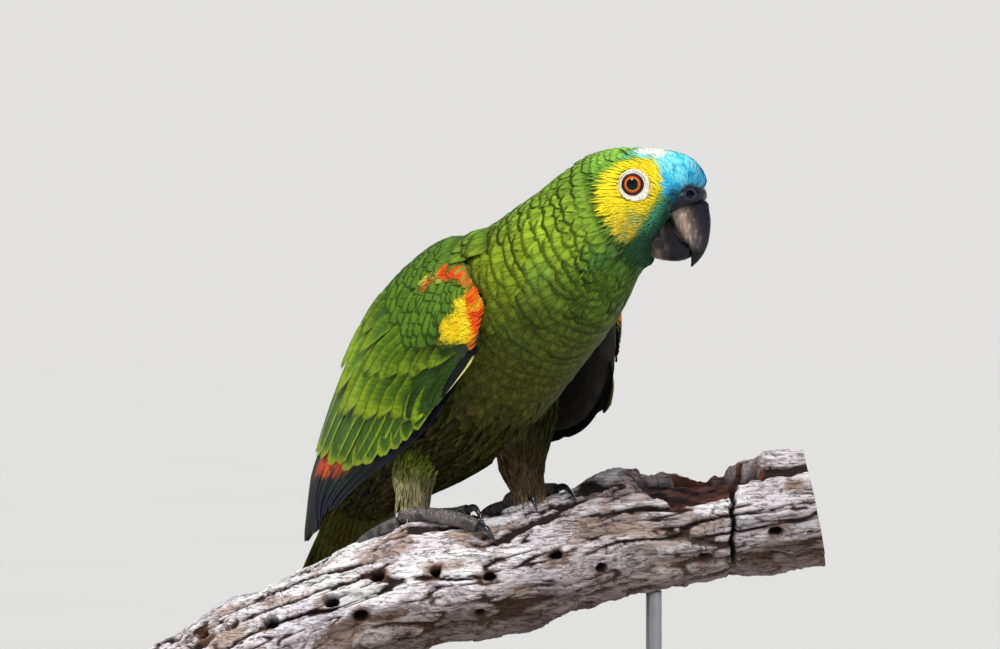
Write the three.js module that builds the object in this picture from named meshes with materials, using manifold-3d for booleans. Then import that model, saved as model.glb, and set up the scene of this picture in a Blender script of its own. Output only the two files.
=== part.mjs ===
// A life-size turquoise-fronted amazon parrot, standing turned across a weathered branch on a display stand.
// Millimetres, +Z up. The origin is the centre of the base's underside and the branch runs along X.
// The bird's own frame has "ahead" along its level heading, "right" to its right side and "up" along Z.

import * as THREE from "three";
import { mergeVertices } from "three/addons/utils/BufferGeometryUtils.js";
import Module from "manifold-3d";

const wasm = await Module();
wasm.setup();

// ---------- Driving dimensions ----------

const GAP = 0.35; // clearance kept between touching nodes
const DEG = Math.PI / 180;

const BODY_ORIGIN = new THREE.Vector3(3.5, 0, 0); // point of the branch midway between the feet
const BODY_YAW = 52 * DEG; // heading of the body, turned from +X towards -Y
const HEAD_YAW = 15 * DEG; // heading of the head
const HEAD_ORIGIN = new THREE.Vector3(83.5, -76, 306); // midway between the eyes

const BASE = { length: 240, width: 130, thickness: 12, corner: 22, edge: 2 };
const ROD = { radius: 4, leftX: -94, rightX: 92 };

// Sides and steps of the rounded forms.
const FACETS = {
  rod: 14,
  corner: 3,
  beetleHole: 6,
  nostril: 10,
  eye: [12, 8],
  lid: [5, 12],
  cere: [8, 8],
  thigh: [16, 9],
  shank: [8, 3],
  pad: [9, 6],
  toe: [8, 6],
  claw: [6, 4],
};

// ---------- Frames ----------

const UP = new THREE.Vector3(0, 0, 1);

function heading(yaw) {
  return new THREE.Vector3(Math.cos(yaw), -Math.sin(yaw), 0);
}

function rightOf(yaw) {
  return new THREE.Vector3(-Math.sin(yaw), -Math.cos(yaw), 0);
}

function placed(origin, yaw, ahead, right, up) {
  return origin
    .clone()
    .addScaledVector(heading(yaw), ahead)
    .addScaledVector(rightOf(yaw), right)
    .addScaledVector(UP, up);
}

const inBody = (ahead, right, up) => placed(BODY_ORIGIN, BODY_YAW, ahead, right, up);
const inHead = (ahead, right, up) => placed(HEAD_ORIGIN, HEAD_YAW, ahead, right, up);

// ---------- Solids ----------

// A closed geometry as a manifold solid, with its faces turned outwards.
function solid(geometry) {
  const bare = geometry.index ? geometry.toNonIndexed() : geometry.clone();
  bare.deleteAttribute("normal");
  bare.deleteAttribute("uv");
  const merged = mergeVertices(bare, 1e-4);
  const build = (triVerts) =>
    new wasm.Manifold(
      new wasm.Mesh({ numProp: 3, vertProperties: merged.attributes.position.array, triVerts }),
    );
  const order = new Uint32Array(merged.index.array);
  const made = build(order);
  if (made.volume() > 0) return made;
  for (let i = 0; i < order.length; i += 3) [order[i + 1], order[i + 2]] = [order[i + 2], order[i + 1]];
  return build(order);
}

const union = (list) => wasm.Manifold.union(list);

// Only the largest closed surface, so that no loose scrap stays.
function largest(body) {
  const parts = body.decompose();
  parts.sort((a, b) => b.volume() - a.volume());
  return parts[0];
}

function meshOf(name, body, material) {
  const { vertProperties, triVerts, numProp, numVert } = largest(body).getMesh();
  const points = new Float32Array(numVert * 3);
  for (let i = 0; i < numVert; i++) {
    points.set(vertProperties.subarray(i * numProp, i * numProp + 3), i * 3);
  }
  const geometry = new THREE.BufferGeometry();
  geometry.setAttribute("position", new THREE.BufferAttribute(points, 3));
  geometry.setIndex(new THREE.BufferAttribute(triVerts, 1));
  geometry.computeVertexNormals();
  const mesh = new THREE.Mesh(geometry, material);
  mesh.name = name;
  return mesh;
}

// A closed skin over rings of equally many points, with a fan over each end.
function skinned(rings) {
  const sides = rings[0].length;
  const points = rings.flat();
  const index = [];
  for (let r = 0; r + 1 < rings.length; r++) {
    for (let k = 0; k < sides; k++) {
      const a = r * sides + k;
      const b = r * sides + ((k + 1) % sides);
      index.push(a, b, b + sides, a, b + sides, a + sides);
    }
  }
  for (const [ring, start] of [[rings[0], 0], [rings.at(-1), (rings.length - 1) * sides]]) {
    const middle = ring.reduce((sum, p) => sum.add(p), new THREE.Vector3()).divideScalar(sides);
    const hub = points.push(middle) - 1;
    for (let k = 0; k < sides; k++) {
      const pair = [start + k, start + ((k + 1) % sides)];
      if (start === 0) pair.reverse();
      index.push(pair[0], pair[1], hub);
    }
  }
  const geometry = new THREE.BufferGeometry().setFromPoints(points);
  geometry.setIndex(index);
  return geometry;
}

const smooth = (points) => new THREE.CatmullRomCurve3(points, false, "catmullrom", 0.5);
const vec = (x, y = 0, z = 0) => new THREE.Vector3(x, y, z);

// A tube with a radius that changes along a smooth path.
function tube(path, radii, sides, steps, grow = 0) {
  const line = smooth(path);
  const thickness = smooth(radii.map((r) => vec(r)));
  const frames = line.computeFrenetFrames(steps);
  const rings = [];
  for (let i = 0; i <= steps; i++) {
    const t = i / steps;
    const centre = line.getPointAt(t);
    const radius = thickness.getPoint(line.getUtoTmapping(t)).x + grow;
    const tangent = line.getTangentAt(t);
    const across = frames.normals[i].clone().cross(tangent).normalize();
    const out = tangent.clone().cross(across).normalize();
    const ring = [];
    for (let k = 0; k < sides; k++) {
      const angle = (2 * Math.PI * k) / sides;
      ring.push(
        centre
          .clone()
          .addScaledVector(across, radius * Math.cos(angle))
          .addScaledVector(out, radius * Math.sin(angle)),
      );
    }
    rings.push(ring);
  }
  return skinned(rings);
}

// The side of a plane that its normal points to, as a large block.
function beyond(point, normal, size = 400) {
  const block = new THREE.BoxGeometry(size, size, size);
  block.translate(0, 0, size / 2);
  block.applyQuaternion(new THREE.Quaternion().setFromUnitVectors(UP, normal.clone().normalize()));
  block.translate(...point);
  return solid(block);
}

// ---------- Materials ----------

function finish(color, roughness, metalness = 0) {
  return new THREE.MeshStandardMaterial({ color, roughness, metalness });
}

const GREEN = finish(0x4f8a1c, 0.75);
const LIME = finish(0x6f9a22, 0.75);
const BLUE_HEAD = finish(0x58a0a8, 0.7);
const WING_GREEN = finish(0x3f7a1a, 0.65);
const TAIL_GREEN = finish(0x6c7a20, 0.7);
const HORN = finish(0x2b2a30, 0.35);
const CERE_SKIN = finish(0x23242c, 0.55);
const IRIS = finish(0xc4521a, 0.1);
const LEG_SKIN = finish(0x5b5a5e, 0.7);
const CLAW = finish(0x1e2029, 0.4);
const BARK = finish(0xb9aca6, 0.9);
const BASE_WOOD = finish(0x3a2c22, 0.5);
const STEEL = finish(0x8d9094, 0.35, 0.9);

// ---------- Perch: a weathered branch ----------

// Where the branch's middle runs, and its radius there.
const BRANCH = [
  { at: [-152, 0, 50], radius: 26 },
  { at: [-128, 0, 62], radius: 27.5 },
  { at: [-98, 0, 77], radius: 28.5 },
  { at: [-55, 0, 96], radius: 28.5 },
  { at: [-20, 0, 107], radius: 29.5 },
  { at: [15, 0, 113], radius: 29.5 },
  { at: [50, 0, 123.5], radius: 29.5 },
  { at: [84, 0, 132.5], radius: 29 },
  { at: [123, 0, 137.5], radius: 27.5 },
  { at: [150, 0, 142], radius: 28 },
  { at: [172, 0, 146.5], radius: 28.5 },
];
const BRANCH_SIDES = 16;
const BRANCH_STEPS = 18;
// Knots and swellings: where along X, at which angle from the top towards -Y, how wide, how high.
const KNOTS = [
  { x: -25, angle: 15, reach: 15, height: 4.5 },
  { x: 76, angle: -10, reach: 13, height: 4 },
  { x: 156, angle: 0, reach: 14, height: 2.5 },
  { x: -110, angle: 60, reach: 16, height: 2 },
];
const ROT = { x: 115, angle: 14, length: 46, spread: 34, depth: 8 }; // a rotted pocket in the top
const CRACK = { x: 131, width: 2.2, depth: 5, length: 34, lean: 0.12, rise: 2 }; // a split below the pocket
// Ripples of the bark: height, then how fast each turns round the branch and along it.
const RIPPLES = [
  { height: 0.8, around: 7, along: 0.03 },
  { height: 0.5, around: 11, along: -0.05 },
  { height: 0.7, around: 2, along: 0.09 },
  { height: 0.4, around: 3, along: 0.21 },
];
const MEAN_RADIUS = 28;

const branchLine = smooth(BRANCH.map((b) => vec(...b.at)));
const branchRadius = smooth(BRANCH.map((b) => vec(b.radius)));

// The share of the branch's line that lies at a given X.
function branchShare(x) {
  let low = 0;
  let high = 1;
  for (let i = 0; i < 30; i++) {
    const middle = (low + high) / 2;
    if (branchLine.getPoint(middle).x < x) low = middle;
    else high = middle;
  }
  return (low + high) / 2;
}

const bump = (distance, reach) => Math.exp(-((distance / reach) ** 2));

// The turn from one angle to another, from -180 to 180 degrees.
const turnFrom = (start, angle) => Math.atan2(Math.sin(angle - start), Math.cos(angle - start));

// How far the bark stands out or in at an X and an angle from the top.
function barkRelief(x, angle) {
  const ripples = RIPPLES.reduce((sum, r) => sum + r.height * Math.sin(r.around * angle + r.along * x), 0);
  const knots = KNOTS.reduce((sum, k) => {
    const around = turnFrom(k.angle * DEG, angle) * MEAN_RADIUS;
    return sum + k.height * bump(x - k.x, k.reach) * bump(around, k.reach);
  }, 0);
  const around = turnFrom(ROT.angle * DEG, angle) / DEG;
  const pocket = ROT.depth * bump(x - ROT.x, ROT.length / 2) * bump(around, ROT.spread);
  return ripples + knots - pocket;
}

// A point of the branch's surface, and the way out of it there.
function branchSurface(x, angle, grow = 0) {
  const t = branchShare(x);
  const centre = branchLine.getPoint(t);
  const along = branchLine.getTangent(t);
  const top = UP.clone().addScaledVector(along, -UP.dot(along)).normalize();
  const near = vec(0, -1, 0);
  const out = top.clone().multiplyScalar(Math.cos(angle)).addScaledVector(near, Math.sin(angle));
  const radius = branchRadius.getPoint(t).x + barkRelief(x, angle) + grow;
  return { point: centre.addScaledVector(out, radius), out, along };
}

function branchSkin(grow) {
  const first = BRANCH[0].at[0] - grow;
  const last = BRANCH.at(-1).at[0] + grow;
  const rings = [];
  for (let i = 0; i <= BRANCH_STEPS; i++) {
    const x = first + ((last - first) * i) / BRANCH_STEPS;
    const ring = [];
    for (let k = 0; k < BRANCH_SIDES; k++) {
      ring.push(branchSurface(x, (2 * Math.PI * k) / BRANCH_SIDES, grow).point);
    }
    rings.push(ring);
  }
  return solid(skinned(rings));
}

// Beetle holes, as short tapered plugs: X, angle from the top towards -Y in degrees, radius.
const HOLES = [
  [-123, 40, 3.2],
  [-94, 65, 3.1],
  [-65, 70, 3.2],
  [-42, 62, 3.3],
  [-16, 75, 2.9],
  [10, 88, 3.1],
  [-55, 96, 3.2],
  [3, 125, 3],
  [43, 86, 2.8],
  [62, 110, 2.6],
  [115, 122, 3],
  [151, 106, 3.2],
  [-30, -70, 3],
  [60, -75, 3],
  [-100, -80, 3.2],
];
const HOLE = { depth: 7, taper: 0.7 };

function beetleHole([x, degrees, radius]) {
  const { point, out } = branchSurface(x, degrees * DEG);
  const plug = new THREE.CylinderGeometry(radius, radius * HOLE.taper, HOLE.depth * 2, FACETS.beetleHole);
  plug.applyQuaternion(new THREE.Quaternion().setFromUnitVectors(vec(0, 1, 0), out));
  plug.translate(...point);
  return solid(plug);
}

function splitAcross() {
  const { point, along } = branchSurface(CRACK.x, 90 * DEG);
  const slot = new THREE.BoxGeometry(CRACK.width, CRACK.depth * 2, CRACK.length);
  slot.rotateY(CRACK.lean - Math.atan2(along.z, along.x));
  slot.translate(point.x, point.y, point.z + CRACK.rise);
  return solid(slot);
}

const grownBranch = branchSkin(GAP);

function perch() {
  const holes = union([...HOLES.map(beetleHole), splitAcross()]);
  return branchSkin(0).subtract(holes);
}

// ---------- Stand ----------

function standBase() {
  const { length, width, thickness, corner, edge } = BASE;
  const x = length / 2 - edge;
  const y = width / 2 - edge;
  const outline = new THREE.Shape();
  outline.moveTo(-x + corner, -y);
  outline.lineTo(x - corner, -y);
  outline.absarc(x - corner, -y + corner, corner, -Math.PI / 2, 0, false);
  outline.absarc(x - corner, y - corner, corner, 0, Math.PI / 2, false);
  outline.absarc(-x + corner, y - corner, corner, Math.PI / 2, Math.PI, false);
  outline.absarc(-x + corner, -y + corner, corner, Math.PI, 1.5 * Math.PI, false);
  const plate = new THREE.ExtrudeGeometry(outline, {
    depth: thickness - 2 * edge,
    bevelThickness: edge,
    bevelSize: edge,
    bevelSegments: 1,
    curveSegments: FACETS.corner,
  });
  plate.translate(0, 0, edge);
  return solid(plate);
}

function standRod(x) {
  const top = branchLine.getPoint(branchShare(x)).z;
  const bottom = BASE.thickness + GAP;
  const rod = new THREE.CylinderGeometry(ROD.radius, ROD.radius, top - bottom, FACETS.rod);
  rod.rotateX(Math.PI / 2);
  rod.translate(x, 0, (top + bottom) / 2);
  return solid(rod).subtract(grownBranch);
}

// ---------- Torso, neck and head: one skin, parted with thin cuts ----------

// Each station: middle, heading and rise of the ring's axis, then half width, height above and depth below.
const STATIONS = [
  { at: inBody(-104, 0, 143), yaw: 52, rise: 48, size: [15, 8, 10] },
  { at: inBody(-94, 0, 153), yaw: 52, rise: 45, size: [21, 15, 18] },
  { at: inBody(-74, 0, 170), yaw: 52, rise: 41, size: [30, 25, 27] },
  { at: inBody(-49, 0, 189), yaw: 52, rise: 38, size: [37, 34, 38] },
  { at: inBody(-21, 0, 209), yaw: 52, rise: 36, size: [41, 39, 45] },
  { at: inBody(9, 0, 230), yaw: 52, rise: 35, size: [42, 39, 45] },
  { at: inBody(38, 0, 250), yaw: 51, rise: 34, size: [40.5, 37, 42] },
  { at: inBody(66, 0, 266), yaw: 47, rise: 36, size: [36, 35, 38] },
  { at: inBody(86, -2, 280), yaw: 39, rise: 36, size: [30, 32, 32.5] },
  { at: inHead(-15.8, 0, -16), yaw: 28, rise: 27, size: [26, 31, 31] },
  { at: inHead(-8, 0, -12), yaw: 20, rise: 20, size: [24, 30, 30] },
  { at: inHead(0.3, 0, -10.5), yaw: 15, rise: 9, size: [22.5, 28.5, 28.5] },
  { at: inHead(9.3, 0, -9.8), yaw: 15, rise: -8, size: [20.5, 26.5, 24.5] },
  { at: inHead(17, 0, -7.5), yaw: 15, rise: -22, size: [16, 21.5, 18.5] },
  { at: inHead(22.8, 0, -7.5), yaw: 15, rise: -39, size: [10.5, 14.5, 10.5] },
  { at: inHead(26, 0, -8), yaw: 15, rise: -50, size: [5.5, 8, 5] },
];
const SKIN_SIDES = 20;
const SKIN_RINGS = 30;

const skinMiddle = smooth(STATIONS.map((s) => s.at));
const skinSize = smooth(STATIONS.map((s) => vec(...s.size)));
const skinTurn = smooth(STATIONS.map((s) => vec(s.yaw * DEG, s.rise * DEG)));

// The ring of the skin at a share of the stations.
function skinRing(t, grow) {
  const { x: yaw, y: rise } = skinTurn.getPoint(t);
  const { x: half, y: above, z: below } = skinSize.getPoint(t);
  const middle = skinMiddle.getPoint(t);
  const right = rightOf(yaw);
  const back = heading(yaw).multiplyScalar(-Math.sin(rise)).addScaledVector(UP, Math.cos(rise));
  const ring = [];
  for (let k = 0; k < SKIN_SIDES; k++) {
    const angle = (2 * Math.PI * k) / SKIN_SIDES;
    const height = Math.cos(angle) > 0 ? above : below;
    ring.push(
      middle
        .clone()
        .addScaledVector(back, (height + grow) * Math.cos(angle))
        .addScaledVector(right, (half + grow) * Math.sin(angle)),
    );
  }
  return ring;
}

function wholeSkin(grow) {
  const rings = [];
  for (let i = 0; i <= SKIN_RINGS; i++) rings.push(skinRing(i / SKIN_RINGS, grow));
  return solid(skinned(rings));
}

// The cut square to the skin's own axis at a station, given by its place in the list.
function cutAt(place) {
  const t = place / (STATIONS.length - 1);
  const { x: yaw, y: rise } = skinTurn.getPoint(t);
  const ahead = heading(yaw).multiplyScalar(Math.cos(rise)).addScaledVector(UP, Math.sin(rise));
  return { point: skinMiddle.getPoint(t), ahead };
}

const NECK_CUT = 6.3;
const HEAD_CUT = 8.55;
const TAIL_CUT = 1.2;

function between(body, from, to) {
  let kept = body;
  if (from !== null) {
    const { point, ahead } = cutAt(from);
    kept = kept.intersect(beyond(point.clone().addScaledVector(ahead, GAP / 2), ahead));
  }
  if (to !== null) {
    const { point, ahead } = cutAt(to);
    kept = kept.intersect(beyond(point.clone().addScaledVector(ahead, -GAP / 2), ahead.clone().negate()));
  }
  return kept;
}

const skin = wholeSkin(0);
const grownSkin = wholeSkin(GAP);

// ---------- Bill, cere and eyes ----------

// The bill in the head's frame: [ahead, up] of the upper edge, of the lower edge, half width of each ring.
const UPPER_BILL = [
  [[14, -4], [10, -12], 7.5],
  [[24, -5], [14, -15.5], 8.4],
  [[32.6, -8], [16.4, -20], 8.2],
  [[34.3, -14], [18.9, -24.6], 7.4],
  [[34.8, -20], [21.2, -28.2], 6.4],
  [[34.2, -26], [23.8, -29.8], 5],
  [[32.4, -32], [24.9, -33.8], 3.6],
  [[29.3, -36.8], [25.2, -37.3], 2.2],
  [[25.8, -40.2], [25, -40], 0.6],
];
const LOWER_BILL = [
  [[0, -16], [-3, -30], 7],
  [[7, -15.5], [1.5, -34], 7.6],
  [[13, -18], [7, -36], 7.8],
  [[17, -22.4], [12.5, -37.3], 7.3],
  [[20, -27], [17.5, -37.5], 6.2],
  [[22.6, -29], [21.5, -37], 4.8],
  [[25, -30], [25, -35.6], 3.2],
];
const BILL_SIDES = 12;
const UPPER_FORM = { steps: 12, ridge: 0.2 };
const LOWER_FORM = { steps: 8, ridge: -0.12 };

// Rounded, and narrower towards its upper edge by the ridge's share.
function billRings(profile, { steps, ridge }, grow) {
  const upper = smooth(profile.map(([high]) => vec(...high)));
  const lower = smooth(profile.map(([, low]) => vec(...low)));
  const half = smooth(profile.map(([, , width]) => vec(width)));
  const rings = [];
  for (let i = 0; i <= steps; i++) {
    const t = i / steps;
    const top = upper.getPoint(t);
    const bottom = lower.getPoint(t);
    const middle = top.clone().add(bottom).divideScalar(2);
    const rise = top.clone().sub(bottom).divideScalar(2);
    rise.setLength(rise.length() + grow);
    const width = half.getPoint(t).x + grow;
    const ring = [];
    for (let k = 0; k < BILL_SIDES; k++) {
      const angle = (2 * Math.PI * k) / BILL_SIDES;
      const lift = Math.cos(angle);
      const side = width * Math.sin(angle) * (1 - ridge * lift);
      ring.push(inHead(middle.x + rise.x * lift, side, middle.y + rise.y * lift));
    }
    rings.push(ring);
  }
  return rings;
}

const upperBill = (grow) => solid(skinned(billRings(UPPER_BILL, UPPER_FORM, grow)));
const lowerBill = (grow) => solid(skinned(billRings(LOWER_BILL, LOWER_FORM, grow)));

// The cere: an arched fleshy band over the root of the bill, with a nostril each side.
const CERE = [
  [15.5, 9.2, -12.5],
  [21.5, 8.6, -7.8],
  [26.5, 5, -5.6],
  [28.2, 0, -5],
  [26.5, -5, -5.6],
  [21.5, -8.6, -7.8],
  [15.5, -9.2, -12.5],
];
const CERE_RADII = [2.4, 3.9, 4.6, 4.4, 4.6, 3.9, 2.4];
const NOSTRIL = { at: [26.6, 8.5, -5.4], aim: [0.25, 1, 0.1], radius: 2, floor: 1.2, depth: 5 };

const cereBand = (grow) =>
  solid(tube(CERE.map((p) => inHead(...p)), CERE_RADII, ...FACETS.cere, grow));

// A vector given ahead, right and up in the head's frame.
const headVector = (ahead, right, up) => inHead(ahead, right, up).sub(HEAD_ORIGIN);

function nostril(side) {
  const { at, aim, radius, floor, depth } = NOSTRIL;
  const out = headVector(aim[0], side * aim[1], aim[2]).normalize();
  const hole = new THREE.CylinderGeometry(radius, floor, depth, FACETS.nostril);
  hole.applyQuaternion(new THREE.Quaternion().setFromUnitVectors(vec(0, 1, 0), out));
  hole.translate(...inHead(at[0], side * at[1], at[2]));
  return solid(hole);
}

const EYE = { out: 15.6, up: -0.7, radius: 6.2, aimAhead: 0.16, aimUp: 0.04 };
const LID = { ring: 5.3, tube: 1.15, lift: 0.9 };

const eyeCentre = (side) => inHead(0, side * EYE.out, EYE.up);
const eyeAim = (side) => headVector(EYE.aimAhead, side, EYE.aimUp).normalize();

function eyeball(side, grow) {
  const ball = new THREE.SphereGeometry(EYE.radius + grow, ...FACETS.eye);
  ball.applyQuaternion(new THREE.Quaternion().setFromUnitVectors(vec(0, 1, 0), eyeAim(side)));
  ball.translate(...eyeCentre(side));
  return solid(ball);
}

// The bare lid round the eye, a low rounded ring.
function lid(side) {
  const ring = new THREE.TorusGeometry(LID.ring + LID.tube / 2, LID.tube, ...FACETS.lid);
  ring.applyQuaternion(new THREE.Quaternion().setFromUnitVectors(UP, eyeAim(side)));
  const reach = Math.sqrt(EYE.radius ** 2 - LID.ring ** 2) + LID.lift;
  ring.translate(...eyeCentre(side).addScaledVector(eyeAim(side), reach));
  return solid(ring);
}

function head() {
  const feathered = between(skin, HEAD_CUT, null);
  const lidded = union([feathered, lid(1), lid(-1)]);
  const cutters = union([
    upperBill(GAP),
    lowerBill(GAP),
    cereBand(GAP),
    eyeball(1, GAP),
    eyeball(-1, GAP),
  ]);
  return lidded.subtract(cutters);
}

const cere = () => cereBand(0).subtract(union([upperBill(GAP), nostril(1), nostril(-1)]));
const lowerMandible = () => lowerBill(0).subtract(upperBill(GAP));

// ---------- Feather vanes ----------

// Where along a vane its rings stand, and how wide it is there, for a round tip and for a pointed one.
const LONG_TIP = [[0, 0.8], [0.5, 1], [0.88, 0.85], [1, 0.2]];
const SHORT_ROUND = [[0, 0.8], [0.75, 0.95], [1, 0.25]];
const VANE_THICKNESS = 0.55;

// A thin closed blade. line(u) gives its middle, the way across it and the way out of its face.
function vane({ line, width, tilt = 0, outline }) {
  const rings = outline.map(([u, share]) => {
    const { middle, across, out } = line(u);
    const side = across.clone().multiplyScalar(Math.cos(tilt)).addScaledVector(out, Math.sin(tilt));
    const face = out.clone().multiplyScalar(Math.cos(tilt)).addScaledVector(across, -Math.sin(tilt));
    const corner = (s, f) =>
      middle
        .clone()
        .addScaledVector(side, (s * width * share) / 2)
        .addScaledVector(face, (f * VANE_THICKNESS) / 2);
    return [corner(-1, 1), corner(1, 1), corner(1, -1), corner(-1, -1)];
  });
  return solid(bladeSkin(rings));
}

// Like skinned, with flat ends and the same diagonals on both faces.
function bladeSkin(rings) {
  const sides = rings[0].length;
  const index = [];
  for (let r = 0; r + 1 < rings.length; r++) {
    for (let k = 0; k < sides; k++) {
      const a = r * sides + k;
      const b = r * sides + ((k + 1) % sides);
      const lowerFace = k >= sides / 2 && k < sides - 1;
      if (lowerFace) index.push(a, b, a + sides, b, b + sides, a + sides);
      else index.push(a, b, b + sides, a, b + sides, a + sides);
    }
  }
  const last = (rings.length - 1) * sides;
  const pairs = sides / 2 - 1;
  for (let k = 0; k < pairs; k++) {
    const [a, b, c, d] = [k, k + 1, sides - 2 - k, sides - 1 - k];
    index.push(b, a, d, b, d, c);
    index.push(last + a, last + b, last + d, last + b, last + c, last + d);
  }
  const geometry = new THREE.BufferGeometry().setFromPoints(rings.flat());
  geometry.setIndex(index);
  return geometry;
}

// ---------- Wings ----------

// Four rails of the folded wing's outer sheet, from wrist and shoulder to the tip: ahead, out, up.
const NEAR_WING = {
  low: [
    [58, 43, 243],
    [50, 46, 221],
    [18, 45, 190],
    [-16, 39, 173],
    [-62, 30, 156],
    [-104, 21, 139],
    [-129, 12, 122],
  ],
  side: [
    [51, 47, 259],
    [31, 51, 245],
    [-2, 51.5, 223],
    [-36, 46, 203],
    [-78, 34, 180],
    [-111, 23, 155],
    [-129.5, 13, 126],
  ],
  top: [
    [20, 26, 281],
    [-3, 29, 274],
    [-31, 31, 258],
    [-61, 28, 237],
    [-93, 22, 206],
    [-116, 17, 169],
    [-130, 13, 131],
  ],
  inner: [
    [14, 9, 286],
    [-10, 6, 278],
    [-41, 7, 258],
    [-73, 8, 232],
    [-101, 8, 199],
    [-119, 9, 165],
    [-130.5, 10, 131],
  ],
};
const FAR_WING = {
  low: [
    [54, 46, 238],
    [37, 61, 211],
    [9, 67, 187],
    [-22, 60, 178],
    [-64, 40, 165],
    [-102, 21, 147],
    [-129, 12, 126],
  ],
  side: [
    [50, 49, 257],
    [30, 60, 242],
    [-2, 66, 220],
    [-36, 58, 202],
    [-78, 39, 180],
    [-109, 23, 156],
    [-129.5, 13, 128],
  ],
  top: [
    [20, 26, 281],
    [-3, 30, 275],
    [-31, 33, 259],
    [-61, 30, 238],
    [-93, 23, 206],
    [-116, 17, 169],
    [-130, 13, 131],
  ],
  inner: NEAR_WING.inner,
};

// Rows of feathers. Each goes from the first feather to the last through [along, across] places of the
// sheet, where along runs from the wrist to the tip and across from the lower edge to the back. Width is
// given for the first and last, depth for root and tip, and stack is how much deeper each lower tip lies.
const WING_ROWS = [
  {
    name: "primaries",
    count: 6,
    roots: [[0.22, 0.04], [0.34, 0.42]],
    tips: [[0.8, 0.01], [1, 0.7]],
    width: [13, 15],
    depth: [7, 1.6],
    stack: 0.95,
    tilt: 5,
    outline: LONG_TIP,
  },
  {
    name: "secondaries",
    count: 7,
    roots: [[0.3, 0.14], [0.24, 0.72]],
    tips: [[0.64, 0.1], [0.84, 0.7]],
    width: [14, 14],
    depth: [6.5, 1.2],
    tilt: 13,
    outline: LONG_TIP,
  },
  {
    name: "tertials",
    count: 2,
    roots: [[0.24, 0.82], [0.24, 0.95]],
    tips: [[0.84, 0.82], [0.76, 0.94]],
    width: [17, 16],
    depth: [6.2, 0.9],
    tilt: 12,
    outline: LONG_TIP,
  },
  {
    name: "primary_coverts",
    count: 3,
    roots: [[0.1, 0.03], [0.18, 0.18]],
    tips: [[0.42, 0.03], [0.47, 0.16]],
    width: [11, 13],
    depth: [6.5, 0.8],
    tilt: 13,
    outline: SHORT_ROUND,
  },
  {
    name: "greater_coverts",
    count: 6,
    roots: [[0.24, 0.22], [0.24, 0.9]],
    tips: [[0.47, 0.22], [0.53, 0.9]],
    width: [18, 18],
    depth: [6.2, 0.2],
    tilt: 13,
    outline: SHORT_ROUND,
  },
  {
    name: "median_coverts",
    count: 5,
    roots: [[0.12, 0.14], [0.14, 0.88]],
    tips: [[0.33, 0.16], [0.38, 0.88]],
    width: [19, 19],
    depth: [6, -0.2],
    tilt: 12,
    outline: SHORT_ROUND,
  },
  {
    name: "lesser_coverts",
    count: 5,
    roots: [[0.02, 0.1], [0.03, 0.86]],
    tips: [[0.2, 0.1], [0.25, 0.84]],
    width: [19, 19],
    depth: [6, -0.5],
    tilt: 12,
    outline: SHORT_ROUND,
  },
  {
    name: "scapulars",
    count: 2,
    roots: [[0.16, 0.8], [0.2, 0.95]],
    tips: [[0.44, 0.82], [0.4, 0.95]],
    width: [16, 16],
    depth: [5, -1.2],
    tilt: 10,
    outline: SHORT_ROUND,
  },
];

// The wing's arm under the coverts: its places across, the depths of its upper face at wrist and end and
// of its lower face at the wrist, its least thickness, and how fast it thins.
const ARM = { from: 0, to: 0.5, across: [0.03, 0.98], upper: [1.6, 3.4], lower: 10.5, thin: 1.4, taper: 1.5 };
const ARM_COLUMNS = 6;
const ARM_STEPS = 4;

function wingSheet(rails, side) {
  const curves = ["low", "side", "top", "inner"].map((name) =>
    smooth(rails[name].map(([ahead, out, up]) => inBody(ahead, side * out, up))),
  );
  const clamp = (x) => Math.min(1, Math.max(0, x));
  const at = (along, across) => {
    const inside = clamp(along);
    const across4 = smooth(curves.map((c) => c.getPoint(inside)));
    const point = across4.getPoint(clamp(across));
    const over = along - inside;
    if (over === 0) return point;
    const tangents = smooth(curves.map((c) => c.getTangent(inside).multiplyScalar(c.getLength())));
    return point.addScaledVector(tangents.getPoint(clamp(across)), over);
  };
  const step = 0.01;
  const normal = (along, across) => {
    const lengthwise = at(along + step, across).sub(at(along - step, across));
    const a = Math.min(1 - step, Math.max(step, across));
    const crosswise = at(along, a + step).sub(at(along, a - step));
    return crosswise.cross(lengthwise).multiplyScalar(side).normalize();
  };
  return { at, normal };
}

const mix = (a, b, t) => a + (b - a) * t;
const AHEAD = 0.02; // how far along a vane the next point is, for its direction

// The vanes of one row, from the lower edge of the wing to the back.
function wingRow(sheet, side, row) {
  return Array.from({ length: row.count }, (_, i) => {
    const share = row.count > 1 ? i / (row.count - 1) : 0;
    const root = [0, 1].map((k) => mix(row.roots[0][k], row.roots[1][k], share));
    const tip = [0, 1].map((k) => mix(row.tips[0][k], row.tips[1][k], share));
    const line = (u) => {
      const place = [mix(root[0], tip[0], u), mix(root[1], tip[1], u)];
      const later = [mix(root[0], tip[0], u + AHEAD), mix(root[1], tip[1], u + AHEAD)];
      const out = sheet.normal(...place);
      const middle = sheet.at(...place);
      const along = sheet.at(...later).sub(middle).normalize();
      const across = out.clone().cross(along).multiplyScalar(-side).normalize();
      const sunk = mix(...row.depth, u) + (row.stack ?? 0) * (row.count - 1 - i) * u;
      return { middle: middle.addScaledVector(out, -sunk), across, out };
    };
    return vane({
      line,
      width: mix(...row.width, share),
      tilt: -row.tilt * DEG,
      outline: row.outline,
    });
  });
}

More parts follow.
